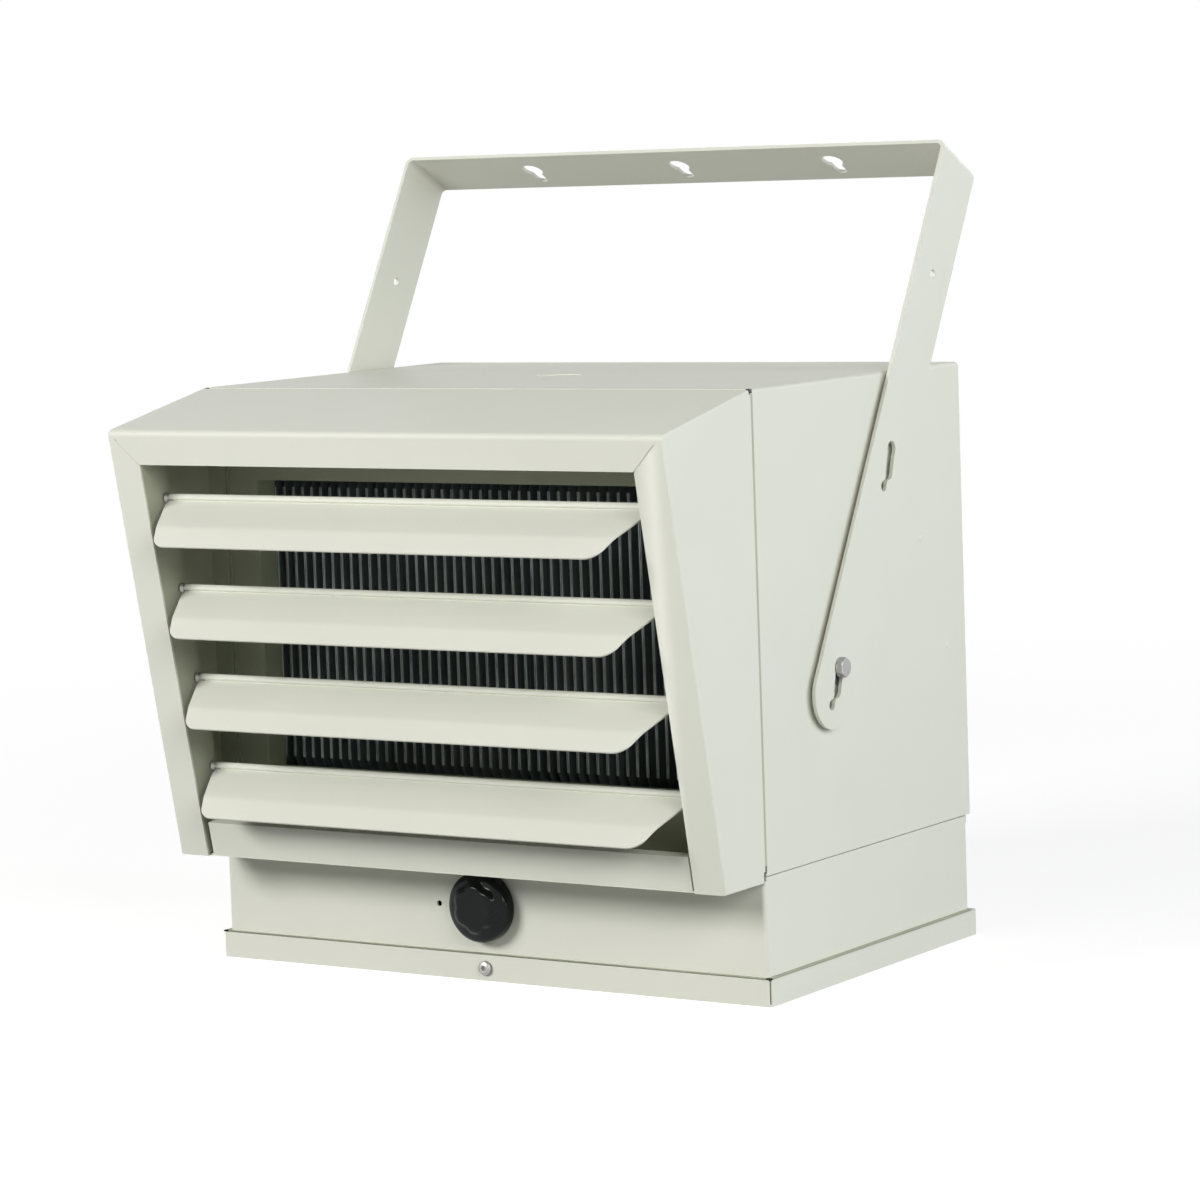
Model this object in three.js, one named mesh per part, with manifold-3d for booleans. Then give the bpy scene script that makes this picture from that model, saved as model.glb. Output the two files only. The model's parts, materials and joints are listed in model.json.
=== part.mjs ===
// Ceiling mounted fan heater: a sheet-metal cabinet with a louvred hood, hung in a tilting yoke.
// Millimetres, +Z up, the hood faces -Y. The origin is the centre of the underside of the bottom cover.
import * as THREE from 'three';
import { mergeVertices } from 'three/addons/utils/BufferGeometryUtils.js';
import Module from 'manifold-3d';

// ---- sheet metal and fits ----
const sheet = 1.2;
const fitGap = 0.3;
const edgeRound = 1.5;
const cornerRound = 2.6;
const frameFlange = 12;
const past = 1;

// ---- flats on round shapes ----
const ringSides = 40;
const barSides = 24;
const boltSides = 16;
const pinSides = 12;
const holeSides = 10;
const screwSides = 8;
const hexSides = 6;

// ---- cabinet ----
const cabinetWidth = 354;
const cabinetDepth = 223;
const cabinetHeight = 321;
const seamHeight = 68;
const seamGap = 0.5;
const lowerBoxInset = 5;
const coverLip = 14.2;
const coverOverhang = 3.2;
const coverFrontReach = 2.4;
const coverNotch = 1.5;
const shelfFlange = 12;
const shelfDrop = 4;
const knockoutRadius = 12.5;
const knockoutDepth = 0.5;
const knockoutX = -8.8;
const knockoutY = -9.6;

// ---- hood ----
const hoodWidth = 355.6;
const hoodTopReach = 86.5;
const hoodTopDrop = 17.7;
const hoodBottomReach = 39.3;
const hoodBottomHeight = 64.4;
const hoodFlange = 19;
const hoodReturn = 21;
const hoodSeam = 0.9;
const hoodBend = 3.6;
const hoodRearBend = 3.3;
const reliefSize = 2.6;
const reliefReach = 1.4;
const mitreReach = 14;
const mitreWidth = 0.9;
const mitreDepth = 0.4;
const railSetback = 2.2;
const railEndGap = 2.4;
const railFootGap = 0.2;
const railFold = 6;

// ---- louvers ----
const louverCount = 4;
const louverSetback = 16.6;
const louverEndGap = 3.6;
const louverShoulder = 5.7;
const louverTaper = 13.6;
const louverSheet = 1;
const hemRadius = 2.4;
const hemDrop = 0.4;
const upperChord = 27;
const lowerChord = 14.2;
const upperAngle = 29;
const lowerAngle = 40.3;
const louverCorner = 7;
const pinRadius = 1.5;
const pinGrip = 8;
const pinTail = 2;
const pinCollar = 2.9;

// ---- heating element and its window ----
const windowWidth = 291;
const windowFoot = 44;
const windowHead = 50;
const windowReturn = 16;
const finPitch = 6.35;
const finSheet = 0.6;
const finDepth = 40;
const finMargin = 4;
const tubeRadius = 4.2;
const tubeCount = 2;
const terminalLength = 14;
const bendGap = 6;
const switchRadius = 9;
const switchDepth = 7;
const switchTab = [14, 8, 10];

// ---- fan and motor ----
const mouthMargin = 14.75;
const fanTipGap = 5;
const bladeCount = 5;
const bladeWidth = 74;
const bladeRootWidth = 24;
const bladeTipWidth = 62;
const bladeTipRound = 10.8;
const bladeSink = 4.4;
const bladeSheet = 1.4;
const bladePitch = 24;
const hubRadius = 22;
const hubLength = 22;
const shaftRadius = 4;
const shaftNose = 3;
const shroudBehindElement = 28;
const shroudCollar = 22;
const motorRadius = 42;
const motorLength = 54;
const motorShoulder = 8;
const motorBoss = 14;
const motorBehindHub = 9;
const bracketSheet = 2;
const bracketHeight = 36;
const bracketFoot = 16;

// ---- back panel and guard ----
const intakeMargin = 15.75;
const guardWire = 1.5;
const guardPitch = 15;
const guardHub = 24;

// ---- thermostat and knob ----
const knobHeight = 41;
const knobRadius = 19.3;
const knobLength = 12;
const knobDisc = 8;
const knobRim = 2.4;
const knobDome = 1.4;
const knobGrip = 14;
const knobLobes = 6;
const knobFlute = 1.6;
const knobCap = 4;
const knobGap = 1;
const knobShaftRadius = 3;
const bushWall = 2;
const bushProud = 0.4;
const shaftEngage = 8;
const thermostatWidth = 42;
const thermostatHeight = 34;
const thermostatDepth = 30;
const pilotHoleOffset = 31;
const pilotHoleDrop = 1;
const pilotHoleRadius = 1.6;

// ---- yoke and its pivots ----
const yokeStrap = 38.1;
const yokeSheet = 2;
const yokeSideGap = 2.8;
const yokeReach = 304;
const yokeTail = 15;
const yokeLean = 29;
const yokeBend = 5;
const pivotBehindFront = 75;
const pivotHeight = 168.5;
const pivotBoltRadius = 3.9;
const boltHeadRadius = 5;
const boltHeadHeight = 3.8;
const slotEyeRadius = 4.4;
const slotHalfWidth = 3.7;
const slotElbow = [3.1, 12.5];
const slotNeckHalf = 1.5;
const slotEnd = [1.1, 21.2];
const slotEndRadius = 2.9;
const secondSlotRise = 126.5;
const legHoleRise = 231.5;
const legHoleRadius = 2.5;
const ceilingSlotSpacing = 101.6;
const ceilingEyeRadius = 6.2;
const ceilingEyeY = -1.9;
const ceilingSlotHalf = 3.4;
const ceilingSlotEndY = 8.6;
const spacerRadius = 9;
const nutRadius = 8;
const nutHeight = 6;

// ---- wiring and small parts ----
const screwRadius = 1.9;
const screwHeadRadius = 4;
const screwHeadHeight = 2.4;
const screwLength = 8;
const entryX = 110;
const entryZ = 36;
const entryRadius = 11;
const bushingWall = 3;
const bushingRim = 2;
const bushingDepth = 3;
const grommetX = 110;
const grommetY = 40;
const grommetRadius = 9;
const grommetWall = 3;
const grommetLip = 2;
const relayX = -85;
const relayY = 20;
const relaySize = [46, 52, 38];
const relayWells = 2;
const terminalX = 60;
const terminalY = 55;
const terminalSize = [52, 30, 24];
const terminalWells = 4;
const wellRadius = 3;
const wellDepth = 4;
const wireRadius = 1.6;
const wireStraight = 8;

const halfCabinet = cabinetWidth / 2;
const frontY = -cabinetDepth / 2;
const backY = cabinetDepth / 2;
const halfSeam = hoodSeam / 2;
const rad = THREE.MathUtils.degToRad;

// ---- finishes ----
const finish = (color, roughness, metalness) => ({ color, roughness, metalness });
const enamel = finish(0xdcddd2, 0.35, 0);
const innerEnamel = finish(0x9a9d8c, 0.5, 0);
const galvanized = finish(0xb4b6b4, 0.45, 0.9);
const zinc = finish(0xc4c5c2, 0.35, 1);
const blackFin = finish(0x141718, 0.5, 0.3);
const fanMetal = finish(0xb9bcbd, 0.35, 0.9);
const motorPaint = finish(0x26282a, 0.5, 0.4);
const knobBlack = finish(0x0c0c0d, 0.18, 0);
const moulding = finish(0x1b1b1c, 0.55, 0);
const wireRed = finish(0x8f1d1a, 0.5, 0);

// ---- solids ----
const wasm = await Module();
wasm.setup();

function solidOf(geometry) {
  const bare = geometry.clone();
  bare.deleteAttribute('normal');
  bare.deleteAttribute('uv');
  const merged = mergeVertices(bare, 1e-4);
  return new wasm.Manifold(new wasm.Mesh({
    numProp: 3,
    vertProperties: new Float32Array(merged.attributes.position.array),
    triVerts: new Uint32Array(merged.index.array),
  }));
}

function geometryOf(solid) {
  const mesh = solid.getMesh();
  const geometry = new THREE.BufferGeometry();
  geometry.setAttribute('position', new THREE.BufferAttribute(mesh.vertProperties, mesh.numProp));
  geometry.setIndex(new THREE.BufferAttribute(mesh.triVerts, 1));
  geometry.computeVertexNormals();
  return geometry;
}

function combine(method, body, tools) {
  const result = tools.reduce((left, tool) => left[method](solidOf(tool)), solidOf(body));
  return geometryOf(result);
}

const cut = (body, ...tools) => combine('subtract', body, tools);
const join = (body, ...tools) => combine('add', body, tools);
const common = (body, ...tools) => combine('intersect', body, tools);

function block(x0, x1, y0, y1, z0, z1) {
  const geometry = new THREE.BoxGeometry(x1 - x0, y1 - y0, z1 - z0);
  return geometry.translate((x0 + x1) / 2, (y0 + y1) / 2, (z0 + z1) / 2);
}

// Round bars: the two numbers before the ends are the other two coordinates of the axis.
function rodX(radius, y, z, x0, x1, sides = barSides) {
  const geometry = new THREE.CylinderGeometry(radius, radius, x1 - x0, sides);
  return geometry.rotateZ(-Math.PI / 2).translate((x0 + x1) / 2, y, z);
}

function rodY(radius, x, z, y0, y1, sides = barSides) {
  const geometry = new THREE.CylinderGeometry(radius, radius, y1 - y0, sides);
  return geometry.translate(x, (y0 + y1) / 2, z);
}

function rodZ(radius, x, y, z0, z1, sides = barSides) {
  const geometry = new THREE.CylinderGeometry(radius, radius, z1 - z0, sides);
  return geometry.rotateX(Math.PI / 2).translate(x, y, (z0 + z1) / 2);
}

function extrude(shape, length, round, facets) {
  const bevel = round > 0;
  const points = shape.getPoints(facets).filter(
    (point, i, all) => point.distanceTo(all[(i + 1) % all.length]) > 1e-5);
  return new THREE.ExtrudeGeometry(new THREE.Shape(points), {
    depth: length - 2 * round,
    bevelEnabled: bevel,
    bevelThickness: round,
    bevelSize: round,
    bevelOffset: -round,
    bevelSegments: 2,
  }).translate(0, 0, round);
}

// The outline is drawn in (y, z), in (x, z) or in (x, y), and runs along the third axis.
function alongX(shape, x0, x1, round = 0, facets = 6) {
  const turn = new THREE.Matrix4().set(0, 0, 1, x0, 1, 0, 0, 0, 0, 1, 0, 0, 0, 0, 0, 1);
  return extrude(shape, x1 - x0, round, facets).applyMatrix4(turn);
}

function alongY(shape, y0, y1, round = 0, facets = 6) {
  return extrude(shape, y1 - y0, round, facets).rotateX(Math.PI / 2).translate(0, y1, 0);
}

function alongZ(shape, z0, z1, round = 0, facets = 6) {
  return extrude(shape, z1 - z0, round, facets).translate(0, 0, z0);
}

const outline = (points) => new THREE.Shape(points.map(([u, v]) => new THREE.Vector2(u, v)));

// An outline with a curve at each corner that starts the given distance from it; 0 leaves it sharp.
function bentOutline(points, starts) {
  const shape = new THREE.Shape();
  points.forEach((point, i) => {
    const [near, far] = [i + points.length - 1, i + 1].map((index) => {
      const other = points[index % points.length];
      const part = starts[i] / Math.hypot(other[0] - point[0], other[1] - point[1]);
      return [point[0] + (other[0] - point[0]) * part, point[1] + (other[1] - point[1]) * part];
    });
    if (i === 0) {
      shape.moveTo(...near);
    } else {
      shape.lineTo(...near);
    }
    shape.quadraticCurveTo(...point, ...far);
  });
  return shape;
}

function roundedOutline(u0, u1, v0, v1, r) {
  const shape = new THREE.Shape();
  shape.moveTo(u0 + r, v0);
  shape.lineTo(u1 - r, v0);
  shape.absarc(u1 - r, v0 + r, r, -Math.PI / 2, 0);
  shape.lineTo(u1, v1 - r);
  shape.absarc(u1 - r, v1 - r, r, 0, Math.PI / 2);
  shape.lineTo(u0 + r, v1);
  shape.absarc(u0 + r, v1 - r, r, Math.PI / 2, Math.PI);
  shape.lineTo(u0, v0 + r);
  shape.absarc(u0 + r, v0 + r, r, Math.PI, 1.5 * Math.PI);
  return shape;
}

// The slot swept by a disc of radius r that moves from one point to the other.
function capsuleOutline([u0, v0], [u1, v1], r) {
  const along = Math.atan2(v1 - v0, u1 - u0);
  const shape = new THREE.Shape();
  shape.absarc(u1, v1, r, along - Math.PI / 2, along + Math.PI / 2);
  shape.absarc(u0, v0, r, along + Math.PI / 2, along + 1.5 * Math.PI);
  return shape;
}

// A convex outline moved in by a distance on every side; its points run anticlockwise.
function inset(points, distance) {
  const edges = points.map((point, i) => {
    const next = points[(i + 1) % points.length];
    const length = Math.hypot(next[0] - point[0], next[1] - point[1]);
    const du = (next[0] - point[0]) / length;
    const dv = (next[1] - point[1]) / length;
    return { u: point[0] - dv * distance, v: point[1] + du * distance, du, dv };
  });
  return edges.map((edge, i) => {
    const before = edges[(i + edges.length - 1) % edges.length];
    const cross = before.du * edge.dv - before.dv * edge.du;
    const step = ((edge.u - before.u) * edge.dv - (edge.v - before.v) * edge.du) / cross;
    return [before.u + before.du * step, before.v + before.dv * step];
  });
}

function turned(profile, sides = ringSides) {
  return new THREE.LatheGeometry(profile.map(([r, h]) => new THREE.Vector2(r, h)), sides);
}

const model = new THREE.Group();

function add(name, geometry, look, parent = model) {
  const mesh = new THREE.Mesh(geometry, new THREE.MeshStandardMaterial(look));
  mesh.name = name;
  parent.add(mesh);
}

const sides = [
  { name: 'left', way: -1 },
  { name: 'right', way: 1 },
];

// A span given for the right-hand side, mirrored to the side wanted.
const span = (way, a, b) => (way > 0 ? [a, b] : [-b, -a]);

// ---- places shared by several pieces ----
const wrapFront = frontY + halfSeam;
const hoodRear = frontY - halfSeam;
const innerHalf = halfCabinet - sheet - fitGap;
const ceilingZ = cabinetHeight - sheet - fitGap;
const shelfTop = seamHeight - shelfDrop;
const baffleFront = wrapFront + sheet + fitGap;
const baffleBack = baffleFront + sheet;
const windowBottom = shelfTop + windowFoot;
const windowTop = ceilingZ - windowHead;
const finFront = baffleFront + windowReturn + fitGap;
const finBack = finFront + finDepth;
const shroudFront = finBack + shroudBehindElement;
const fanZ = (shelfTop + ceilingZ) / 2;
const airHalfHeight = (ceilingZ - shelfTop) / 2;
const intakeRadius = airHalfHeight - intakeMargin;
const mouthRadius = airHalfHeight - mouthMargin;
const fanRadius = mouthRadius - fanTipGap;
const hubFront = shroudFront + (shroudCollar - hubLength) / 2;
const hubBack = hubFront + hubLength;
const motorFront = hubBack + motorBehindHub;
const motorBack = motorFront + motorLength;
const flangeInside = backY - sheet - fitGap;
const panelFront = flangeInside - sheet;
const lowerBack = backY - lowerBoxInset;
const lowerBase = sheet + fitGap;
const lowerTop = seamHeight - seamGap;
const pivotY = frontY + pivotBehindFront;

// ---- cabinet shells ----
const screwHole = (x, z, y0, y1) => rodY(screwRadius + fitGap, x, z, y0, y1, holeSides);

// Small openings where the bent edges of the hood and the cabinet meet at a corner.
const cornerReliefs = (z) => sides.map(({ way }) => block(
  ...span(way, hoodWidth / 2 - reliefSize, hoodWidth / 2 + past),
  hoodRear - reliefReach, wrapFront + reliefReach,
  z - reliefSize, z + reliefSize));

// The edge beside the seam stays square, so the rounded corner there is filled in again.
const squareEdges = (half, y0, z0, z1) => sides.map(({ way }) => block(
  ...span(way, half - sheet, half), y0, y0 + edgeRound, z0, z1));

function housingWrap() {
  const shell = roundedOutline(-halfCabinet, halfCabinet, 0, cabinetHeight, cornerRound);
  const hollowWidth = halfCabinet - sheet;
  const lip = halfCabinet - frameFlange;
  const lipTop = cabinetHeight - frameFlange;
  const bores = sides.map(({ way }) => rodX(pivotBoltRadius + fitGap, pivotY, pivotHeight,
    ...span(way, hollowWidth - past, halfCabinet + past)));
  const skin = join(alongY(shell, wrapFront, backY, edgeRound),
    ...squareEdges(halfCabinet, wrapFront, seamHeight, cabinetHeight - cornerRound));
  return cut(
    skin,
    block(-hollowWidth, hollowWidth, wrapFront + sheet, backY - sheet, -past, cabinetHeight - sheet),
    block(-lip, lip, frontY - past, backY + past, -past, lipTop),
    block(-halfCabinet - past, halfCabinet + past, frontY - past, backY + past, -past, seamHeight),
    ...bores,
    ...backScrewPlaces().map(([x, z]) => screwHole(x, z, flangeInside, backY + past)),
    ...[seamHeight, cabinetHeight].flatMap(cornerReliefs),
    rodZ(knockoutRadius, knockoutX, knockoutY, cabinetHeight - knockoutDepth, cabinetHeight + past,
      ringSides),
  );
}

function backScrewPlaces() {
  const x = halfCabinet - frameFlange / 2 - sheet / 2;
  const low = seamHeight + 2 * frameFlange;
  const high = cabinetHeight - 2 * frameFlange;
  return [[-x, low], [x, low], [-x, high], [x, high]];
}

function lowerHousing() {
  const outer = roundedOutline(-halfCabinet, halfCabinet, frontY, lowerBack, cornerRound);
  const inner = halfCabinet - sheet;
  return cut(
    alongZ(outer, lowerBase, lowerTop),
    block(-inner, inner, frontY + sheet, lowerBack + past, 0, seamHeight),
    rodY(knobShaftRadius + bushWall + fitGap, 0, knobHeight, frontY - past, frontY + sheet + past),
    rodY(pilotHoleRadius, -pilotHoleOffset, knobHeight - pilotHoleDrop, frontY - past, frontY + sheet + past,
      boltSides),
    screwHole(0, coverLip / 2, frontY - past, frontY + sheet + past),
    ...cornerReliefs(seamHeight),
  );
}

function bottomCover() {
  const halfWidth = halfCabinet + coverOverhang;
  const y0 = frontY - coverFrontReach;
  const outer = roundedOutline(-halfWidth, halfWidth, y0, backY - edgeRound, cornerRound);
  const inner = halfWidth - sheet;
  const cornerSlits = sides.map(({ way }) => block(...span(way, halfWidth - coverNotch, halfWidth + past),
    y0 - past, y0 + coverNotch, sheet, coverLip + past));
  return cut(
    alongZ(outer, 0, coverLip),
    block(-inner, inner, y0 + sheet, backY - edgeRound - sheet, sheet, coverLip + past),
    screwHole(0, coverLip / 2, y0 - past, y0 + sheet + past),
    ...cornerSlits,
  );
}

function controlShelf() {
  const y0 = baffleBack + fitGap;
  const y1 = panelFront - fitGap;
  const floor = shelfTop - sheet;
  const top = seamHeight + shelfFlange;
  return cut(
    block(-innerHalf, innerHalf, y0, y1, floor, top),
    block(-innerHalf + sheet, innerHalf - sheet, y0 - past, y1 + past, shelfTop, top + past),
    rodZ(grommetRadius, grommetX, grommetY, floor - past, shelfTop + past),
  );
}

function controlBoxBack() {
  const back = lowerBack - fitGap;
  return cut(
    block(-innerHalf, innerHalf, back - sheet, back, lowerBase, shelfTop - sheet - fitGap),
    rodY(entryRadius + bushingWall, entryX, entryZ, back - sheet - past, back + past),
  );
}

function backPanel() {
  const z0 = shelfTop + fitGap;
  const places = [...backScrewPlaces(), ...bracketScrewPlaces().map((x) => [x, fanZ])];
  return cut(
    block(-innerHalf + sheet + fitGap, innerHalf - sheet - fitGap, panelFront, flangeInside, z0, ceilingZ),
    rodY(intakeRadius, 0, fanZ, panelFront - past, backY, ringSides),
    ...places.map(([x, z]) => screwHole(x, z, panelFront - past, backY)),
  );
}

// ---- hood ----
const hoodTop = [frontY - hoodTopReach, cabinetHeight - hoodTopDrop];
const hoodFoot = [frontY - hoodBottomReach, hoodBottomHeight];
const slantLength = Math.hypot(hoodFoot[0] - hoodTop[0], hoodFoot[1] - hoodTop[1]);
const slantDown = [(hoodFoot[0] - hoodTop[0]) / slantLength, (hoodFoot[1] - hoodTop[1]) / slantLength];
const openingHalf = hoodWidth / 2 - hoodFlange;
const openingLength = slantLength - 2 * hoodFlange;

// The point at a distance down the slanted front and behind it, as [y, z].
function frontPoint(down, behind) {
  return [
    hoodTop[0] + slantDown[0] * down - slantDown[1] * behind,
    hoodTop[1] + slantDown[1] * down + slantDown[0] * behind,
  ];
}

function frontSlab(down0, down1, behind0, behind1) {
  return outline([
    frontPoint(down0, behind0),
    frontPoint(down1, behind0),
    frontPoint(down1, behind1),
    frontPoint(down0, behind1),
  ]);
}

const louverPitch = openingLength / louverCount;

function louverPivot(index) {
  return frontPoint(hoodFlange + louverPitch * (index + 0.5) - hemRadius, louverSetback);
}

// A shallow line across each upper corner of the front, where the bent flanges meet.
function mitreGrooves() {
  const middle = hoodFlange - mitreReach / 2;
  const front = new THREE.Matrix4().makeBasis(
    new THREE.Vector3(1, 0, 0),
    new THREE.Vector3(0, slantDown[0], slantDown[1]),
    new THREE.Vector3(0, -slantDown[1], slantDown[0]),
  );
  return sides.map(({ way }) => new THREE.BoxGeometry(Math.SQRT2 * mitreReach, mitreWidth, 2 * mitreDepth)
    .rotateZ(-way * Math.PI / 4)
    .applyMatrix4(front)
    .translate(way * (hoodWidth / 2 - middle), ...frontPoint(middle, 0)));
}

function hoodShell() {
  const half = hoodWidth / 2;
  const profile = [[hoodRear, hoodBottomHeight], [hoodRear, cabinetHeight], hoodTop, hoodFoot];
  const hollow = alongX(outline(inset(profile, sheet)), -half + sheet, half - sheet);
  const belowFloor = block(-half + sheet, half - sheet, frontPoint(slantLength, sheet)[0], hoodRear - sheet,
    0, hoodBottomHeight + 2 * sheet);
  const rearWindow = block(-half + frameFlange, half - frameFlange, hoodRear - 2 * sheet, hoodRear + past,
    0, cabinetHeight - frameFlange);
  const frontWindow = alongX(frontSlab(hoodFlange, slantLength + hoodFlange, -hoodFlange, 3 * sheet),
    -openingHalf, openingHalf);
  const returns = sides.map(({ way }) => cut(
    alongX(frontSlab(sheet, slantLength - sheet, sheet / 2, hoodReturn),
      ...span(way, openingHalf, openingHalf + sheet)),
    block(-half, half, hoodTop[0], frontY, 0, hoodBottomHeight + sheet + fitGap),
  ));
  const bores = Array.from({ length: louverCount }, (_, i) => louverPivot(i)).map(
    ([y, z]) => rodX(pinRadius + fitGap, y, z, -openingHalf - 2 * sheet, openingHalf + 2 * sheet, pinSides));
  const skin = join(alongX(bentOutline(profile, [0, hoodRearBend, hoodBend, 0]), -half, half, edgeRound),
    ...squareEdges(half, hoodRear - edgeRound, hoodBottomHeight, cabinetHeight - hoodRearBend));
  const reliefs = [seamHeight, cabinetHeight].flatMap(cornerReliefs);
  const shell = cut(skin, hollow, belowFloor, rearWindow, frontWindow, ...reliefs, ...mitreGrooves());
  return cut(join(shell, ...returns), ...bores);
}

function hoodBottomPan() {
  const half = hoodWidth / 2 - sheet - fitGap;
  const railTop = slantLength - hoodFlange;
  const floorFront = frontPoint(slantLength, railSetback)[0];
  const floor = block(-half, half, floorFront, hoodRear - sheet - fitGap, hoodBottomHeight,
    hoodBottomHeight + sheet);
  const railHalf = openingHalf - railEndGap;
  const face = frontSlab(railTop, slantLength - railFootGap, railSetback, railSetback + sheet);
  const fold = frontSlab(railTop, railTop + sheet, railSetback, railSetback + railFold);
  return join(floor, ...[face, fold].map((shape) => alongX(shape, -railHalf, railHalf)));
}

// ---- louvers ----
// Blade profile about its pivot, in (y, z): a rolled hem, a long upper plane and a steeper lower plane.
function louverBlade() {
  const upper = rad(upperAngle);
  const steep = rad(lowerAngle);
  const direction = (angle) => [-Math.cos(angle), -Math.sin(angle)];
  const [uy, uz] = direction(upper);
  const [ly, lz] = direction(steep);
  const start = [-uz * hemDrop, uy * hemDrop];
  const lower = (point, dy, dz) => [point[0] + dz * louverSheet, point[1] - dy * louverSheet];
  const knee = [start[0] + uy * upperChord, start[1] + uz * upperChord];
  const tip = [knee[0] + ly * lowerChord, knee[1] + lz * lowerChord];
  const section = outline([
    start, knee, tip,
    lower(tip, -ly, -lz), lower(knee, -(uy + ly) / 2, -(uz + lz) / 2), lower(start, -uy, -uz),
  ]);
  const half = openingHalf - louverEndGap;
  const chord = upperChord + lowerChord;
  const meanAngle = (upper * upperChord + steep * lowerChord) / chord;
  const plate = alongX(section, -half, half);
  const hem = rodX(hemRadius, 0, 0, -half, half, pinSides);
  const sockets = sides.map(({ way }) => rodX(pinRadius + fitGap, 0, 0,
    ...span(way, half - pinGrip, half + past), holeSides));
  return cut(join(hem, common(plate, louverPlan(half, chord, meanAngle))), ...sockets);
}

// The blade seen square on: straight shoulders, tapering ends and two rounded lower corners.
function louverPlan(half, chord, meanAngle) {
  const tipHalf = half - louverTaper;
  const flare = louverTaper / (chord - louverShoulder);
  const corner = [tipHalf + flare * louverCorner, -chord + louverCorner];
  const shape = new THREE.Shape();
  shape.moveTo(half, chord / 2);
  shape.lineTo(-half, chord / 2);
  shape.lineTo(-half, -louverShoulder);
  shape.lineTo(-corner[0], corner[1]);
  shape.quadraticCurveTo(-tipHalf, -chord, -tipHalf + louverCorner, -chord);
  shape.lineTo(tipHalf - louverCorner, -chord);
  shape.quadraticCurveTo(tipHalf, -chord, corner[0], corner[1]);
  shape.lineTo(half, -louverShoulder);
  return extrude(shape, chord, 0, 4).translate(0, 0, -chord / 2).rotateX(meanAngle);
}

function louverPin(way) {
  const inner = openingHalf - louverEndGap - pinGrip + fitGap;
  const outer = openingHalf + sheet + pinTail;
  const collarEnd = openingHalf - fitGap;
  return join(
    rodX(pinRadius, 0, 0, ...span(way, inner, outer), screwSides),
    rodX(pinCollar, 0, 0, ...span(way, collarEnd - sheet, collarEnd), holeSides),
  );
}

function addLouvers() {
  for (let i = 0; i < louverCount; i += 1) {
    const group = new THREE.Group();
    const [y, z] = louverPivot(i);
    group.position.set(0, y, z);
    model.add(group);
    add(`louver_${i + 1}`, louverBlade(), enamel, group);
    sides.forEach(({ name, way }) => add(`louver_pin_${i + 1}_${name}`, louverPin(way), zinc, group));
  }
}

// ---- heating element ----
function bafflePlate() {
  const half = windowWidth / 2;
  const lipBack = baffleFront + windowReturn;
  const plate = block(-innerHalf, innerHalf, baffleFront, baffleBack, shelfTop - sheet, ceilingZ);
  const rim = half + sheet;
  const ring = block(-rim, rim, baffleFront, lipBack, windowBottom - sheet, windowTop + sheet);
  const window = block(-half, half, baffleFront - past, lipBack + past, windowBottom, windowTop);
  return cut(join(plate, ring), window);
}

const elementHalf = windowWidth / 2 + finMargin;
const tubeRise = (windowTop - windowBottom) / tubeCount;
const tubeZ = (index) => windowBottom + tubeRise * (index + 0.5);
const tubeY = finFront + finDepth / 2;
const endPlateX = elementHalf + finPitch / 2;
const bendX = endPlateX + sheet + bendGap;

function heatingElement() {
  const fins = [];
  const count = Math.floor(elementHalf / finPitch);
  for (let i = -count; i <= count; i += 1) {
    const x = i * finPitch;
    fins.push(block(x - finSheet / 2, x + finSheet / 2, finFront, finBack,
      windowBottom - finMargin, windowTop + finMargin));
  }
  const tubes = Array.from({ length: tubeCount }, (_, i) => rodX(tubeRadius, tubeY, tubeZ(i),
    -bendX - (i === 0 ? terminalLength : 0), bendX + (i === tubeCount - 1 ? terminalLength : 0), hexSides));
  const bends = Array.from({ length: tubeCount - 1 }, (_, i) => rodZ(tubeRadius, (i % 2 ? -1 : 1) * bendX,
    tubeY, tubeZ(i) - tubeRadius, tubeZ(i + 1) + tubeRadius, hexSides));
  return join(tubes[0], ...tubes.slice(1), ...bends, ...fins);
}

function elementEnd(way) {
  const y0 = baffleBack + fitGap;
  const z0 = windowBottom - 2 * finMargin;
  const z1 = windowTop + 2 * finMargin;
  const web = block(...span(way, endPlateX, endPlateX + sheet), y0, finBack, z0, z1);
  const foot = block(...span(way, endPlateX, endPlateX + frameFlange), y0, y0 + sheet, z0, z1);
  const bores = Array.from({ length: tubeCount }, (_, i) => rodX(tubeRadius + fitGap, tubeY, tubeZ(i),
    ...span(way, endPlateX - past, endPlateX + sheet + past), pinSides));
  return cut(join(web, foot), ...bores);
}

function limitSwitch() {
  const z = windowTop + 3 * finMargin + switchRadius;
  const y0 = baffleBack + fitGap;
  const y1 = y0 + switchDepth;
  const [width, length, height] = switchTab;
  const tab = block(-width / 2, width / 2, y1 - past, y1 + length - past, z - height / 2, z + height / 2);
  return join(rodY(switchRadius, 0, z, y0, y1), tab);
}

// ---- fan, motor and guard ----
function fanShroud() {
  const end = shroudFront + shroudCollar;
  const half = innerHalf - sheet - fitGap;
  const plate = block(-half, half, shroudFront, shroudFront + sheet, shelfTop + fitGap, ceilingZ);
  return cut(
    join(plate, rodY(mouthRadius + sheet, 0, fanZ, shroudFront, end, ringSides)),
    rodY(mouthRadius, 0, fanZ, shroudFront - past, end + past, ringSides),
  );
}

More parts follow.
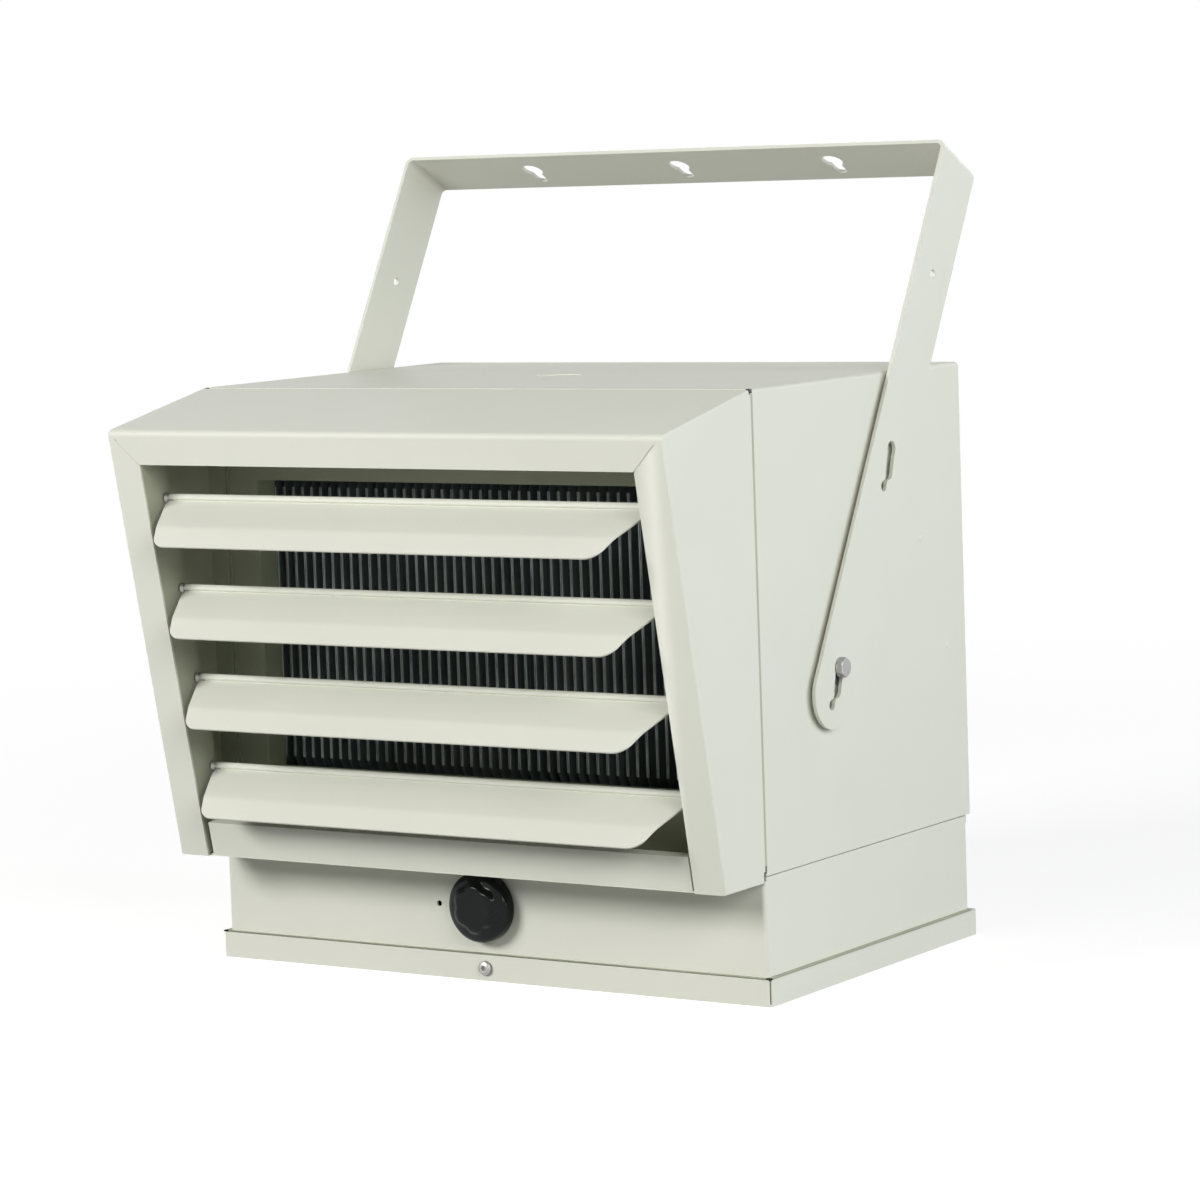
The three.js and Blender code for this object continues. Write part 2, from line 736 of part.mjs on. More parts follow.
// One blade lies along +X before it is turned about the shaft.
function fanBlade(index) {
  const root = hubRadius - bladeSink;
  const middle = (root + fanRadius) / 2;
  const shoulder = fanRadius - bladeTipRound;
  const shape = new THREE.Shape();
  shape.moveTo(root, -bladeRootWidth / 2);
  shape.quadraticCurveTo(middle, -bladeWidth / 2, shoulder, -bladeTipWidth / 2);
  shape.quadraticCurveTo(fanRadius + bladeTipRound, 0, shoulder, bladeTipWidth / 2);
  shape.quadraticCurveTo(middle, bladeWidth / 2, root, bladeRootWidth / 2);
  const blade = extrude(shape, bladeSheet, 0, 6).translate(0, 0, -bladeSheet / 2);
  return blade.rotateX(Math.PI / 2 - rad(bladePitch)).rotateY(index * 2 * Math.PI / bladeCount);
}

function fanWheel() {
  const middle = (hubFront + hubBack) / 2;
  const blades = Array.from({ length: bladeCount }, (_, i) => fanBlade(i).translate(0, middle, fanZ));
  const hub = rodY(hubRadius, 0, fanZ, hubFront, hubBack);
  const bore = rodY(shaftRadius + fitGap, 0, fanZ, hubFront - past, hubBack + past, boltSides);
  return cut(join(hub, ...blades), bore);
}

const fanShaft = () => rodY(shaftRadius, 0, fanZ, hubFront - shaftNose,
  motorFront + motorShoulder - past, boltSides);

function motorBody() {
  const bore = shaftRadius + fitGap;
  const face = motorFront + motorShoulder / 2;
  const rim = motorRadius - motorShoulder;
  const profile = [
    [0, motorFront + motorShoulder], [bore, motorFront + motorShoulder], [bore, motorFront],
    [motorBoss, motorFront], [motorBoss, face], [rim, face], [motorRadius, face + motorShoulder],
    [motorRadius, motorBack - motorShoulder], [rim, motorBack], [0, motorBack],
  ];
  return turned(profile, barSides).translate(0, 0, fanZ);
}

const bracketLeg = intakeRadius + bracketFoot;
const bracketScrewPlaces = () => [-bracketLeg - bracketFoot / 2, bracketLeg + bracketFoot / 2];

function motorBracket() {
  const z0 = fanZ - bracketHeight / 2;
  const z1 = fanZ + bracketHeight / 2;
  const front = motorBack + fitGap;
  const back = panelFront - fitGap;
  const end = bracketLeg + bracketFoot;
  const inner = bracketLeg - bracketSheet;
  const hat = cut(
    block(-end, end, front, back, z0, z1),
    block(-inner, inner, front + bracketSheet, back + past, z0 - past, z1 + past),
    block(-end - past, -bracketLeg, front - past, back - bracketSheet, z0 - past, z1 + past),
    block(bracketLeg, end + past, front - past, back - bracketSheet, z0 - past, z1 + past),
  );
  const footFront = back - 2 * bracketSheet;
  return cut(hat, ...bracketScrewPlaces().map((x) => screwHole(x, fanZ, footFront, back + past)));
}

function intakeGuard() {
  const y = flangeInside + fitGap + guardWire;
  const rings = [];
  for (let r = intakeRadius + 2 * guardWire; r > guardHub; r -= guardPitch) {
    rings.push(turned([[r - guardWire, y], [r, y - guardWire], [r + guardWire, y], [r, y + guardWire],
      [r - guardWire, y]], barSides).translate(0, 0, fanZ));
  }
  const spokes = [45, 135].map((angle) => rodX(guardWire, 0, 0, -intakeRadius - guardWire,
    intakeRadius + guardWire, 4).rotateY(rad(angle)).translate(0, y, fanZ));
  const hub = rodY(guardHub - guardPitch / 2, 0, fanZ, y - guardWire, y + guardWire / 2, boltSides);
  return join(hub, ...spokes, ...rings);
}

// ---- thermostat and knob ----
const thermostatFront = frontY + sheet + fitGap;
const shaftEnd = thermostatFront + shaftEngage;

function thermostatBody() {
  const half = thermostatWidth / 2;
  const body = block(-half, half, thermostatFront, thermostatFront + thermostatDepth,
    knobHeight - thermostatHeight / 2, knobHeight + thermostatHeight / 2);
  const bush = rodY(knobShaftRadius + bushWall, 0, knobHeight, frontY - bushProud, thermostatFront + past);
  const bore = rodY(knobShaftRadius + fitGap, 0, knobHeight, frontY - past, shaftEnd + fitGap, boltSides);
  return cut(join(body, bush), bore);
}

const knobBack = frontY - knobGap;
const knobFront = knobBack - knobLength;

// A round grip with shallow flutes, drawn as a wave round the circle.
function knobGripOutline() {
  const steps = 8 * knobLobes;
  const points = Array.from({ length: steps }, (_, i) => {
    const angle = 2 * Math.PI * i / steps;
    const radius = knobGrip - knobFlute * (1 - Math.cos(knobLobes * angle)) / 2;
    return [radius * Math.sin(angle), radius * Math.cos(angle)];
  });
  return outline(points);
}

function knob() {
  const rimFront = knobBack - knobDisc;
  const domeFront = rimFront - knobDome;
  const disc = turned([
    [0, domeFront], [knobGrip, domeFront], [knobRadius - knobRim, rimFront],
    [knobRadius, rimFront + knobRim], [knobRadius, knobBack], [0, knobBack],
  ]).translate(0, 0, knobHeight);
  const grip = alongY(knobGripOutline(), knobFront, knobBack - past, edgeRound).translate(0, 0, knobHeight);
  const bore = rodY(knobShaftRadius + fitGap, 0, knobHeight, knobFront + knobCap, knobBack + past, boltSides);
  return cut(join(disc, grip), bore);
}

const knobShaft = () => rodY(knobShaftRadius, 0, knobHeight, knobFront + knobCap + fitGap,
  shaftEnd, boltSides);

// ---- yoke ----
// Built upright about its pivot: z runs up the legs. The group leans it back.
const legInner = halfCabinet + yokeSideGap;
const legOuter = legInner + yokeSheet;

function yokeSlot(rise) {
  const eye = [0, rise];
  const elbow = [slotElbow[0], rise - slotElbow[1]];
  const end = [slotEnd[0], rise - slotEnd[1]];
  const reach = [-legOuter - past, legOuter + past];
  return [
    rodX(slotEyeRadius, ...eye, ...reach, boltSides),
    alongX(capsuleOutline(eye, elbow, slotHalfWidth), ...reach, 0, 4),
    alongX(capsuleOutline(elbow, end, slotNeckHalf), ...reach, 0, 4),
    rodX(slotEndRadius, ...end, ...reach, pinSides),
  ];
}

function ceilingSlot(x) {
  const reach = [yokeReach - yokeSheet - past, yokeReach + past];
  const tail = capsuleOutline([x, ceilingEyeY], [x, ceilingSlotEndY], ceilingSlotHalf);
  return [rodZ(ceilingEyeRadius, x, ceilingEyeY, ...reach, boltSides), alongZ(tail, ...reach, 0, 4)];
}

function yokeGeometry() {
  const half = yokeStrap / 2;
  const foot = -yokeTail - half;
  const bar = roundedOutline(-legOuter, legOuter, foot - 2 * yokeBend, yokeReach, yokeBend);
  const hollow = roundedOutline(-legInner, legInner, foot - 4 * yokeBend, yokeReach - yokeSheet,
    yokeBend - yokeSheet);
  const footRound = cut(
    block(-legOuter - past, legOuter + past, -half - past, half + past, foot - 3 * yokeBend, -yokeTail),
    rodX(half, 0, -yokeTail, -legOuter - 2 * past, legOuter + 2 * past, ringSides),
  );
  return cut(
    alongY(bar, -half, half),
    alongY(hollow, -half - past, half + past),
    footRound,
    ...yokeSlot(0),
    ...yokeSlot(secondSlotRise),
    rodX(legHoleRadius, 0, legHoleRise, -legOuter - past, legOuter + past, pinSides),
    ...[-ceilingSlotSpacing, 0, ceilingSlotSpacing].flatMap(ceilingSlot),
  );
}

function addYoke() {
  const group = new THREE.Group();
  group.position.set(0, pivotY, pivotHeight);
  group.rotation.x = -rad(yokeLean);
  model.add(group);
  add('yoke', yokeGeometry(), enamel, group);
}

const nutFace = halfCabinet - sheet - fitGap;

function pivotBolt(way) {
  const headFoot = legOuter + fitGap;
  return join(
    rodX(pivotBoltRadius, pivotY, pivotHeight, ...span(way, nutFace - nutHeight, headFoot + past), boltSides),
    rodX(boltHeadRadius, pivotY, pivotHeight, ...span(way, headFoot, headFoot + boltHeadHeight), hexSides),
  );
}

// A round or hexagonal collar on the pivot, bored for the bolt.
function pivotCollar(way, radius, x0, x1, flats) {
  return cut(
    rodX(radius, pivotY, pivotHeight, ...span(way, x0, x1), flats),
    rodX(pivotBoltRadius + fitGap, pivotY, pivotHeight, ...span(way, x0 - past, x1 + past), boltSides),
  );
}

const pivotSpacer = (way) => pivotCollar(way, spacerRadius, halfCabinet + fitGap,
  legInner - fitGap, barSides);
const pivotNut = (way) => pivotCollar(way, nutRadius, nutFace - nutHeight, nutFace, hexSides);

// ---- screws, wiring and small parts ----
// A pan-head screw along Y: its head's underside is at seat, and it points the way of its shank.
function screwY(x, z, seat, way) {
  const shank = way > 0 ? [seat - past, seat + screwLength] : [seat - screwLength, seat + past];
  const head = way > 0 ? [seat - screwHeadHeight, seat] : [seat, seat + screwHeadHeight];
  return join(rodY(screwRadius, x, z, ...shank, screwSides), rodY(screwHeadRadius, x, z, ...head, pinSides));
}

const wellOffset = (width, wells, index) => (index - (wells - 1) / 2) * width / wells;

// A moulded block that stands on the floor of the bottom cover, with a row of screw wells in its top.
function floorBlock(x, y, [width, depth, height], wells) {
  const top = lowerBase + height;
  const body = block(x - width / 2, x + width / 2, y - depth / 2, y + depth / 2, lowerBase, top);
  const tools = Array.from({ length: wells }, (_, i) => rodZ(wellRadius, x + wellOffset(width, wells, i), y,
    top - wellDepth, top + past, pinSides));
  return cut(body, ...tools);
}

function shelfGrommet() {
  const under = shelfTop - sheet - fitGap;
  const over = shelfTop + fitGap;
  const inner = grommetRadius - grommetWall;
  const outer = grommetRadius + grommetLip;
  const neck = grommetRadius - fitGap;
  const low = under - grommetLip;
  const high = over + grommetLip;
  const profile = [[inner, low], [outer, low], [outer, under], [neck, under], [neck, over], [outer, over],
    [outer, high], [inner, high], [inner, low]];
  return turned(profile, boltSides).rotateX(Math.PI / 2).translate(grommetX, grommetY, 0);
}

function entryBushing() {
  const seat = lowerBack;
  const inside = lowerBack - fitGap - sheet - bushingDepth;
  const face = lowerBack - fitGap + bushingDepth;
  const neck = entryRadius + bushingWall - fitGap;
  const rim = entryRadius + bushingWall + bushingRim;
  const profile = [[entryRadius, inside], [neck, inside], [neck, seat], [rim, seat], [rim, face],
    [entryRadius, face], [entryRadius, inside]];
  return turned(profile, barSides).translate(entryX, 0, entryZ);
}

function wire(points) {
  const curve = new THREE.CatmullRomCurve3(points.map(([x, y, z]) => new THREE.Vector3(x, y, z)));
  const section = new THREE.Shape();
  section.absarc(0, 0, wireRadius, 0, 2 * Math.PI);
  const steps = 5 * points.length;
  return new THREE.ExtrudeGeometry(section, { extrudePath: curve, steps, curveSegments: 3 });
}

// The leads leave squarely, and end a fit gap above the floor of a well.
const wellFloor = (size) => lowerBase + size[2] - wellDepth + fitGap;
const terminalPlace = (index) => terminalX + wellOffset(terminalSize[0], terminalWells, index);
const intoWell = (x, y, floor) => [2, 1, 0].map((steps) => [x, y, floor + steps * wireStraight]);

function motorLead() {
  const x = terminalPlace(terminalWells - 1);
  const exitZ = fanZ - bracketHeight / 2 - wireStraight;
  return wire([
    [0, motorBack + fitGap, exitZ], [0, motorBack + wireStraight, exitZ],
    [grommetX / 2, motorBack, exitZ - 4 * wireStraight], [grommetX, grommetY, shelfTop + 3 * wireStraight],
    [grommetX, grommetY, shelfTop], [grommetX, grommetY, shelfTop - wireStraight],
    ...intoWell(x, terminalY, wellFloor(terminalSize)),
  ]);
}

function thermostatLead() {
  const back = thermostatFront + thermostatDepth + fitGap;
  const x = -thermostatWidth / 4;
  const relayPlace = relayX + wellOffset(relaySize[0], relayWells, 0);
  return wire([
    [x, back, knobHeight], [x, back + wireStraight, knobHeight],
    [relayX / 2, relayY - relaySize[1] / 2 - wireStraight, knobHeight + wireStraight],
    ...intoWell(relayPlace, relayY, wellFloor(relaySize)),
  ]);
}

function supplyLead() {
  const x = terminalPlace(1);
  const start = lowerBack - wireStraight;
  return wire([
    [entryX, start, entryZ], [entryX, start - wireStraight, entryZ],
    [(entryX + x) / 2, start - 2 * wireStraight, entryZ],
    ...intoWell(x, terminalY, wellFloor(terminalSize)),
  ]);
}

// ---- the assembly ----
add('housing_wrap', housingWrap(), enamel);
add('lower_housing', lowerHousing(), enamel);
add('bottom_cover', bottomCover(), enamel);
add('control_shelf', controlShelf(), galvanized);
add('control_box_back', controlBoxBack(), enamel);
add('back_panel', backPanel(), enamel);
add('hood_shell', hoodShell(), enamel);
add('hood_bottom_pan', hoodBottomPan(), enamel);
add('baffle_plate', bafflePlate(), innerEnamel);
add('heating_element', heatingElement(), blackFin);
sides.forEach(({ name, way }) => add(`element_end_${name}`, elementEnd(way), galvanized));
add('limit_switch', limitSwitch(), moulding);
add('fan_shroud', fanShroud(), galvanized);
add('motor_body', motorBody(), motorPaint);
add('motor_bracket', motorBracket(), galvanized);
add('intake_guard', intakeGuard(), zinc);
add('fan_wheel', fanWheel(), fanMetal);
add('fan_shaft', fanShaft(), zinc);
add('thermostat_body', thermostatBody(), moulding);
add('knob', knob(), knobBlack);
add('knob_shaft', knobShaft(), zinc);
add('terminal_block', floorBlock(terminalX, terminalY, terminalSize, terminalWells), moulding);
add('relay', floorBlock(relayX, relayY, relaySize, relayWells), moulding);
add('shelf_grommet', shelfGrommet(), moulding);
add('entry_bushing', entryBushing(), moulding);
add('motor_lead', motorLead(), moulding);
add('thermostat_lead', thermostatLead(), wireRed);
add('supply_lead', supplyLead(), wireRed);
add('cover_screw', screwY(0, coverLip / 2, frontY - coverFrontReach - fitGap, 1), zinc);
backScrewPlaces().forEach(([x, z], i) => add(`back_screw_${i + 1}`, screwY(x, z, backY + fitGap, -1), zinc));
bracketScrewPlaces().forEach((x, i) => add(`bracket_screw_${sides[i].name}`,
  screwY(x, fanZ, flangeInside + fitGap, -1), zinc));
sides.forEach(({ name, way }) => {
  add(`pivot_bolt_${name}`, pivotBolt(way), zinc);
  add(`pivot_spacer_${name}`, pivotSpacer(way), moulding);
  add(`pivot_nut_${name}`, pivotNut(way), zinc);
});
addLouvers();
addYoke();

export default model;
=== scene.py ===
"""Looks of the ceiling mounted fan heater: finishes, fine pieces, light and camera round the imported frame."""
import json
import math

import bmesh
import bpy
from mathutils import Matrix, Vector


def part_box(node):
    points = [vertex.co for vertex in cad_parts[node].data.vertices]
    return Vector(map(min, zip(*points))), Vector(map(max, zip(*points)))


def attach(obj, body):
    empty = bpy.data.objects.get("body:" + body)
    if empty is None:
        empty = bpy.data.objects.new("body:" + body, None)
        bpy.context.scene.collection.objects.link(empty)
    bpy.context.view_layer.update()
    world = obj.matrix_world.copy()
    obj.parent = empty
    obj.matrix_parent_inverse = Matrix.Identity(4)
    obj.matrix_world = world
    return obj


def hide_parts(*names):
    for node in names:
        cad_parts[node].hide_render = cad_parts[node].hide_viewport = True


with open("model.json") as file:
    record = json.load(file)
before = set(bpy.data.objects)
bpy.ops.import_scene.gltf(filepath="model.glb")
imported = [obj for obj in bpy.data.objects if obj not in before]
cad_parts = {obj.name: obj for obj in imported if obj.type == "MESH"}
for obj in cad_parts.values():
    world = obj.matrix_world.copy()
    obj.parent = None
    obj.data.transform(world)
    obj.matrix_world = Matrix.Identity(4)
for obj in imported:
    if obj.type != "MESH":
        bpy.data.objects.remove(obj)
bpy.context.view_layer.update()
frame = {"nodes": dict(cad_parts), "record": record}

# sizes are in millimetres, unless a comment says otherwise
MM = 0.001
# metres
MERGE_DISTANCE = 1e-7
# degrees between two faces from which their edge counts as sharp
SHARP_ANGLE = 32
EDGE_SEGMENTS = 2
LOUVERS = 4
SIDES = (("left", -1), ("right", 1))


# ---- meshes ----
def mesh_of(name, verts, faces):
    """A smooth-shaded mesh from points in millimetres."""
    mesh = bpy.data.meshes.new(name)
    mesh.from_pydata([(x * MM, y * MM, z * MM) for x, y, z in verts], [], faces)
    mesh.polygons.foreach_set("use_smooth", [True] * len(mesh.polygons))
    mesh.update()
    return mesh


def join_parts(*parts):
    """Joins (points, faces) pairs into one pair."""
    verts, faces = [], []
    for part_verts, part_faces in parts:
        start = len(verts)
        verts += list(part_verts)
        faces += [tuple(i + start for i in face) for face in part_faces]
    return verts, faces


def stacked(rows, sides):
    """Faces for rows of points stacked up, each once round, with a flat at both ends."""
    faces = []
    for k in range(rows - 1):
        for i in range(sides):
            j = (i + 1) % sides
            faces.append((k * sides + i, k * sides + j, (k + 1) * sides + j, (k + 1) * sides + i))
    faces.append(tuple(reversed(range(sides))))
    faces.append(tuple(range((rows - 1) * sides, rows * sides)))
    return faces


def sheet_faces(rows, columns):
    """Faces for a sheet of rows by columns of quads: its first layer of points, then its second."""
    stride = columns + 1
    layer = stride * (rows + 1)
    faces = []
    for r in range(rows):
        for c in range(columns):
            a = r * stride + c
            faces.append((a, a + 1, a + 1 + stride, a + stride))
            faces.append((a + layer + stride, a + 1 + layer + stride, a + 1 + layer, a + layer))
        for c in (0, columns):
            a = r * stride + c
            faces.append((a, a + stride, a + stride + layer, a + layer))
    for r in (0, rows):
        for c in range(columns):
            a = r * stride + c
            faces.append((a, a + layer, a + 1 + layer, a + 1))
    return faces


def placed(part, matrix):
    """A (points, faces) pair moved by a matrix."""
    return [tuple(matrix @ Vector(v)) for v in part[0]], part[1]


def lathe(profile, sides):
    """Turns (radius, height) points about Z; the ends close on the axis or the profile closes on itself."""
    verts, rows = [], []
    for radius, height in profile:
        if radius == 0:
            rows.append([len(verts)] * sides)
            verts.append((0, 0, height))
            continue
        rows.append(range(len(verts), len(verts) + sides))
        for i in range(sides):
            turn = 2 * math.pi * i / sides
            verts.append((radius * math.cos(turn), radius * math.sin(turn), height))
    faces = []
    for low, high in zip(rows, rows[1:]):
        for i in range(sides):
            j = (i + 1) % sides
            face = [low[i], low[j], high[j], high[i]]
            face = [v for k, v in enumerate(face) if v != face[k - 1]]
            if len(face) > 2:
                faces.append(tuple(face))
    return verts, faces


def tube(points, radius, sides, closed=False):
    """A round bar that follows points; each end is capped unless the bar closes on itself."""
    points = [Vector(p) for p in points]
    count = len(points)
    verts, faces = [], []
    normal = None
    for k, point in enumerate(points):
        before = points[k - 1] if k or closed else point
        after = points[(k + 1) % count] if k < count - 1 or closed else point
        along = (after - before).normalized()
        if normal is None:
            normal = along.orthogonal().normalized()
        normal = (normal - along * normal.dot(along)).normalized()
        across = along.cross(normal)
        for i in range(sides):
            turn = 2 * math.pi * i / sides
            verts.append(tuple(point + (normal * math.cos(turn) + across * math.sin(turn)) * radius))
    for k in range(count if closed else count - 1):
        low, high = k * sides, (k + 1) % count * sides
        for i in range(sides):
            j = (i + 1) % sides
            faces.append((low + i, low + j, high + j, high + i))
    if not closed:
        faces.append(tuple(reversed(range(sides))))
        faces.append(tuple(range((count - 1) * sides, count * sides)))
    return verts, faces


def prism(outline, z0, z1):
    """A solid from an anticlockwise outline in (x, y)."""
    verts = [(x, y, z0) for x, y in outline] + [(x, y, z1) for x, y in outline]
    return verts, stacked(2, len(outline))


def box_part(x0, x1, y0, y1, z0, z1):
    return prism([(x0, y0), (x1, y0), (x1, y1), (x0, y1)], z0, z1)


def add_object(name, data):
    """A new object in the scene."""
    obj = bpy.data.objects.new(name, data)
    bpy.context.scene.collection.objects.link(obj)
    return obj


def piece(name, part, body, slot, replaced=(), bevel=0, place=None):
    """A named object that rides on a body, wears a slot's material and may stand for CAD nodes."""
    verts, faces = placed(part, place) if place is not None else part
    obj = add_object(name, mesh_of(name, verts, faces))
    edit = bmesh.new()
    edit.from_mesh(obj.data)
    bmesh.ops.remove_doubles(edit, verts=edit.verts, dist=MERGE_DISTANCE)
    bmesh.ops.recalc_face_normals(edit, faces=edit.faces)
    edit.to_mesh(obj.data)
    edit.free()
    obj.data.materials.append(MATERIALS[slot])
    soften(obj, bevel)
    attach(obj, body)
    if replaced:
        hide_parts(*replaced)


def soften(obj, width, angle=SHARP_ANGLE):
    """Rounds the sharp edges by width (mm) and keeps the flats flat in the shading."""
    if width:
        bevel = obj.modifiers.new("edges", "BEVEL")
        bevel.width = width * MM
        bevel.segments = EDGE_SEGMENTS
        bevel.limit_method = "ANGLE"
        bevel.angle_limit = math.radians(angle)
        bevel.harden_normals = False
    normals = obj.modifiers.new("flats", "WEIGHTED_NORMAL")
    normals.keep_sharp = True


# ---- materials ----
def new_material(name):
    """A material with one Principled shader, its node tree and the shader."""
    material = bpy.data.materials.new(name)
    material.use_nodes = True
    tree = material.node_tree
    tree.nodes.clear()
    out = tree.nodes.new("ShaderNodeOutputMaterial")
    shader = tree.nodes.new("ShaderNodeBsdfPrincipled")
    tree.links.new(shader.outputs["BSDF"], out.inputs["Surface"])
    return material, tree, shader


def place_node(tree):
    """The point on the object, in its own metres."""
    return tree.nodes.new("ShaderNodeTexCoord").outputs["Object"]


NOISE_ROUGHNESS = 0.55


def noise(tree, scale, detail=3.0, stretch=None):
    """Noise in the object's own metres; stretch squeezes it along an axis."""
    node = tree.nodes.new("ShaderNodeTexNoise")
    node.inputs["Scale"].default_value = scale
    node.inputs["Detail"].default_value = detail
    node.inputs["Roughness"].default_value = NOISE_ROUGHNESS
    source = place_node(tree)
    if stretch:
        mapping = tree.nodes.new("ShaderNodeMapping")
        mapping.inputs["Scale"].default_value = stretch
        tree.links.new(source, mapping.inputs["Vector"])
        source = mapping.outputs["Vector"]
    tree.links.new(source, node.inputs["Vector"])
    return node.outputs["Fac"]


def mapped(tree, value, before=(0, 1), after=(0, 1)):
    """Maps a value from one range onto another and keeps it inside."""
    node = tree.nodes.new("ShaderNodeMapRange")
    for name, number in zip(("From Min", "From Max", "To Min", "To Max"), before + after):
        node.inputs[name].default_value = number
    tree.links.new(value, node.inputs["Value"])
    return node.outputs["Result"]


def folded(tree, operation, values):
    """One value from several node outputs, such as their MINIMUM."""
    result = values[0]
    for value in values[1:]:
        node = tree.nodes.new("ShaderNodeMath")
        node.operation = operation
        tree.links.new(result, node.inputs[0])
        tree.links.new(value, node.inputs[1])
        result = node.outputs["Value"]
    return result


def ramp(tree, factor, *stops):
    """Two colours at places along 0 to 1."""
    node = tree.nodes.new("ShaderNodeValToRGB")
    for element, (place, color) in zip(node.color_ramp.elements, stops):
        element.position = place
        element.color = (*color, 1)
    tree.links.new(factor, node.inputs["Fac"])
    return node.outputs["Color"]


def bump(tree, shader, height, strength, distance):
    """Raises the shader's surface by up to distance (mm) where height is 1."""
    node = tree.nodes.new("ShaderNodeBump")
    node.inputs["Strength"].default_value = strength
    node.inputs["Distance"].default_value = distance * MM
    tree.links.new(height, node.inputs["Height"])
    tree.links.new(node.outputs["Normal"], shader.inputs["Normal"])


def shade(color, factor):
    return tuple(c * factor for c in color)


COAT_ROUGHNESS = 0.12
ROUGHNESS_SPREAD = 0.15
GRAIN_PER_CLOUD = 9


def plain_finish(name, color, roughness, spread, cloud, metallic=0.0, specular=0.5, coat=0.0):
    """A finish whose colour and roughness drift a little, with cloud as the drift's noise scale."""
    material, tree, shader = new_material(name)
    shader.inputs["Metallic"].default_value = metallic
    shader.inputs["Specular IOR Level"].default_value = specular
    if coat:
        shader.inputs["Coat Weight"].default_value = coat
        shader.inputs["Coat Roughness"].default_value = COAT_ROUGHNESS
    drift = noise(tree, cloud)
    tree.links.new(ramp(tree, drift, (0.3, shade(color, 1 - spread)), (0.7, shade(color, 1 + spread))),
                   shader.inputs["Base Color"])
    grain = noise(tree, cloud * GRAIN_PER_CLOUD)
    rough = roughness * (1 - ROUGHNESS_SPREAD), roughness * (1 + ROUGHNESS_SPREAD)
    tree.links.new(mapped(tree, grain, after=rough), shader.inputs["Roughness"])
    return material, tree, shader


IVORY = (0.735, 0.745, 0.662)
# the ivory darkened as painted shade, for surfaces inside the hood and the cabinet
SHADED_IVORY = (0.44, 0.46, 0.36)
SHADE_CLOUD = 26
PAINT_SHINE = 0.14


def powder_coat(name):
    """Ivory powder coat: a fine orange peel under a low gloss."""
    material, tree, shader = plain_finish(name, IVORY, roughness=0.4, spread=0.012, cloud=14,
                                          specular=PAINT_SHINE)
    bump(tree, shader, noise(tree, 620, detail=2.0), strength=0.10, distance=0.05)
    return material, tree, shader


def enamel():
    material, _, _ = powder_coat("enamel")
    return material


def inner_enamel():
    """The same paint darkened as painted shade, for sheets deep inside and for seam lines."""
    material, tree, shader = plain_finish("inner_enamel", SHADED_IVORY, roughness=0.55, spread=0.05,
                                          cloud=SHADE_CLOUD, specular=0.2)
    bump(tree, shader, noise(tree, 500, detail=2.0), strength=0.12, distance=0.06)
    return material


SPANGLE_SCALE = 170
SPANGLE_DARK = (0.46, 0.47, 0.48)
SPANGLE_PALE = (0.68, 0.69, 0.69)


def galvanized():
    """Zinc-coated sheet with its crystal spangle."""
    material, tree, shader = plain_finish("galvanized", (0.55, 0.56, 0.56), roughness=0.42, spread=0.05,
                                          cloud=40, metallic=0.85)
    spangle = tree.nodes.new("ShaderNodeTexVoronoi")
    spangle.inputs["Scale"].default_value = SPANGLE_SCALE
    tree.links.new(place_node(tree), spangle.inputs["Vector"])
    tree.links.new(ramp(tree, spangle.outputs["Color"], (0.2, SPANGLE_DARK), (0.8, SPANGLE_PALE)),
                   shader.inputs["Base Color"])
    return material


def zinc():
    material, tree, shader = plain_finish("zinc", (0.40, 0.40, 0.385), roughness=0.42, spread=0.12,
                                          cloud=220, metallic=0.8)
    bump(tree, shader, noise(tree, 1800, detail=2.0), strength=0.12, distance=0.03)
    return material


FIN_BLACK = (0.16, 0.2, 0.205)
FRONT_FACE_DARK = (0.48, 0.52, 0.53)
FRONT_FACE_PALE = (0.86, 0.91, 0.92)
# how far a face's normal points forward (-Y) where the pale grey starts and where it is full
FRONT_FACE_START = -0.5
FRONT_FACE_FULL = -0.95


def black_fins():
    """Satin black sheet, mottled pale grey on the faces that point to the front."""
    material, tree, shader = plain_finish("black_fins", FIN_BLACK, roughness=0.42, spread=0.2, cloud=60,
                                          specular=0.4)
    facing = tree.nodes.new("ShaderNodeSeparateXYZ")
    normal = tree.nodes.new("ShaderNodeTexCoord").outputs["Normal"]
    tree.links.new(normal, facing.inputs["Vector"])
    front = mapped(tree, facing.outputs["Y"], before=(FRONT_FACE_START, FRONT_FACE_FULL))
    mix = tree.nodes.new("ShaderNodeMix")
    mix.data_type = "RGBA"
    mix.inputs["A"].default_value = (*FIN_BLACK, 1)
    tree.links.new(front, mix.inputs["Factor"])
    front_tone = ramp(tree, noise(tree, 55, detail=4.0), (0.35, FRONT_FACE_DARK), (0.7, FRONT_FACE_PALE))
    tree.links.new(front_tone, mix.inputs["B"])
    tree.links.new(mix.outputs["Result"], shader.inputs["Base Color"])
    return material


def fan_metal():
    """Pressed aluminium with the fine lines of its rolling."""
    material, tree, shader = plain_finish("fan_metal", (0.6, 0.61, 0.62), roughness=0.36, spread=0.05,
                                          cloud=30, metallic=0.9)
    bump(tree, shader, noise(tree, 500, detail=2.0, stretch=(1, 6, 1)), strength=0.08, distance=0.05)
    return material


def motor_paint():
    material, tree, shader = plain_finish("motor_paint", (0.03, 0.032, 0.034), roughness=0.4, spread=0.15,
                                          cloud=25, coat=0.3)
    bump(tree, shader, noise(tree, 420, detail=2.0), strength=0.15, distance=0.08)
    return material


def knob_plastic():
    material, tree, shader = plain_finish("knob_plastic", (0.004, 0.0058, 0.0055), roughness=0.13,
                                          spread=0.12, cloud=90, specular=0.2)
    bump(tree, shader, noise(tree, 240, detail=2.0), strength=0.05, distance=0.06)
    return material


def moulding():
    """Black moulded plastic with a fine sparked grain."""
    material, tree, shader = plain_finish("moulding", (0.026, 0.026, 0.028), roughness=0.5, spread=0.1,
                                          cloud=60)
    bump(tree, shader, noise(tree, 1400), strength=0.2, distance=0.06)
    return material


